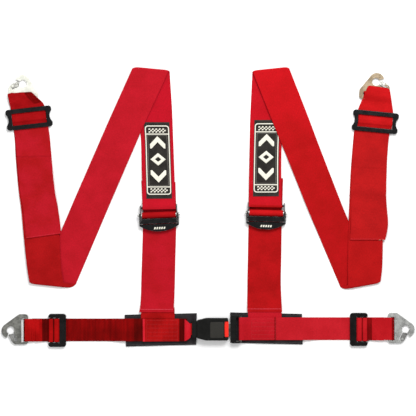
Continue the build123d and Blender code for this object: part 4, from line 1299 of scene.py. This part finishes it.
def sewn_layer(name, lap):
    reds, junction = REDS[name], f"{name}_junction"
    top, (s0, s1) = sewn_return(lap)
    if lap["sign"] < 0:
        # The raised tip and the raised end take the bright red, a painted highlight; the hollow between the
        # tip and the stitched stretch takes the darker red, painted shade.
        spans = (("tip", "tip", 0, 14.2), ("hollow", "painted_shade", 14.1, 26.5), ("edge", "tip", 102.2, top.length))
        for part, look, first, last in spans:
            fine = dict(step=1.2, span=(first, last), shift=1200)
            ribbon(f"{name}_sewn_{part}", top, reds[look], junction, LAP_SLOT, **fine)
        span = (26.4, 102.3)
    else:
        span = (0, top.length - 2.2)
        # The raised end of the top layer takes the darker red: a painted shadow line where the layer ends.
        fine = dict(step=0.8, span=(span[1] - 0.1, top.length), shift=1200)
        ribbon(f"{name}_sewn_edge", top, reds["painted_shade"], junction, LAP_SLOT, **fine)
    fine = dict(step=1.6, span=span, shift=1200)
    made = ribbon(f"{name}_sewn_top", top, reds["sewn"], junction, LAP_SLOT, **fine)
    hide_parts(f"{name}_sewn_junction")
    upper = WEB / 2 if top.normal[len(top.normal) // 2, 2] > 0 else -WEB / 2
    lines = [top.at(np.linspace(s0, s1, 50), t, upper) for t in (-0.86, -0.52, -0.18, 0.18, 0.52, 0.86)]
    lines += [top.at(s, np.linspace(-0.86, 0.86, 30), upper) for s in (s0, s1)]
    stitches(f"{name}_sewn_stitches", lines, SEWN_THREAD, junction, 2.2, 0.9, 0.5, 0.25)


def junction_pad(name, lap):
    junction = f"{name}_junction"
    uneven = slow_waves(71 if lap["sign"] < 0 else 72, 0.25, 70)
    pad = laid(PADS[name], [(0, 1.5), (160, 1.5)], soft=3, wrinkle=uneven)
    cushion = ribbon(f"{name}_pad", pad, PAD, junction, "pad_fabric", thick=2.8, cols=20, step=3)
    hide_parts(f"{name}_junction_pad")
    rim = [pad.at(np.linspace(3.5, pad.length - 3.5, 70), t, 1.4) for t in (-0.9, 0.9)]
    rim += [pad.at(s, np.linspace(-0.9, 0.9, 40), 1.4) for s in (3.5, pad.length - 3.5)]
    stitches(f"{name}_pad_stitches", rim, BLACK_THREAD, junction, 2.4, 1.0, 0.6, 0.25)


def lap_belt(name, lap):
    lap_run(name, lap)
    lap_turn(name, lap)
    lap_return(name, lap)
    lap_over_slide(name, lap)
    sewn_layer(name, lap)
    junction_pad(name, lap)


for lap_name, lap_details in LAPS.items():
    lap_belt(lap_name, lap_details)

anchor = bent(
    [(39.2, 5.7), (24.0, 5.5), (22.9, 6.6), (22.9, 8.4), (24.0, 9.5), (39.2, 9.9)],
    13.0,
    (0, -269.5),
    180,
    soft=1,
)
red = REDS["left"]["sewn"]
anchored = ribbon("buckle_anchor_webbing", anchor, red, "buckle", "lap_webbing", step=1.2, cols=6)
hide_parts("buckle_webbing_loop")



def on_cover(outline):
    """Puts outline points, as (x, y), on the buckle's top."""
    top = np.full((len(outline), 1), 19.0)
    return np.hstack([outline, top]), np.array([0.0, 0.0, 1.0])


panel_outline = [(x, y - 271.0) for x, y in rounded(5.0, 34.6, 17.4, 3.0)]
solid_marks("buckle_panel", on_cover, [panel_outline], PANEL, "buckle", 0.35)


# ------------------------------------------------------------------ camera, floor, light

VIEW_WIDE = 0.9152
CAMERA_HIGH = 7.0
SENSOR = 36.0
camera_data = bpy.data.cameras.new("camera")
camera_data.sensor_width = SENSOR
camera_data.lens = CAMERA_HIGH * SENSOR / VIEW_WIDE
camera_data.clip_end = 60
camera = bpy.data.objects.new("camera", camera_data)
camera.location = (0.0, -0.0033, CAMERA_HIGH)
bpy.context.scene.collection.objects.link(camera)
bpy.context.scene.camera = camera

floor_look, floor_tree, floor_shader = start("floor", Roughness=0.9)
floor_shader.inputs["Base Color"].default_value = (0.985, 0.985, 0.985, 1)
floor = piece(
    "floor",
    [(-9000, -9000, -0.1), (9000, -9000, -0.1), (9000, 9000, -0.1), (-9000, 9000, -0.1)],
    [(0, 1, 2, 3)],
    floor_look,
    closed=False,
)

world = bpy.data.worlds.new("studio")
bpy.context.scene.world = world
world.use_nodes = True
world.node_tree.nodes["Background"].inputs[0].default_value = (1.0, 1.0, 1.0, 1)
world.node_tree.nodes["Background"].inputs[1].default_value = 0.50


def softbox(name, place, aim, size, power):
    light = bpy.data.lights.new(name, "AREA")
    light.shape = "RECTANGLE"
    light.size, light.size_y = size
    light.energy = power
    made = bpy.data.objects.new(name, light)
    made.location = place
    made.rotation_mode = "QUATERNION"
    made.rotation_quaternion = (Vector(aim) - Vector(place)).to_track_quat("-Z", "Y")
    bpy.context.scene.collection.objects.link(made)


softbox("key", (0.6, 1.6, 2.1), (0, 0, 0), (1.9, 1.3), 74)
softbox("fill", (-1.3, -0.9, 1.8), (0, 0, 0), (1.6, 1.6), 14)

bpy.context.scene.view_settings.view_transform = "Standard"
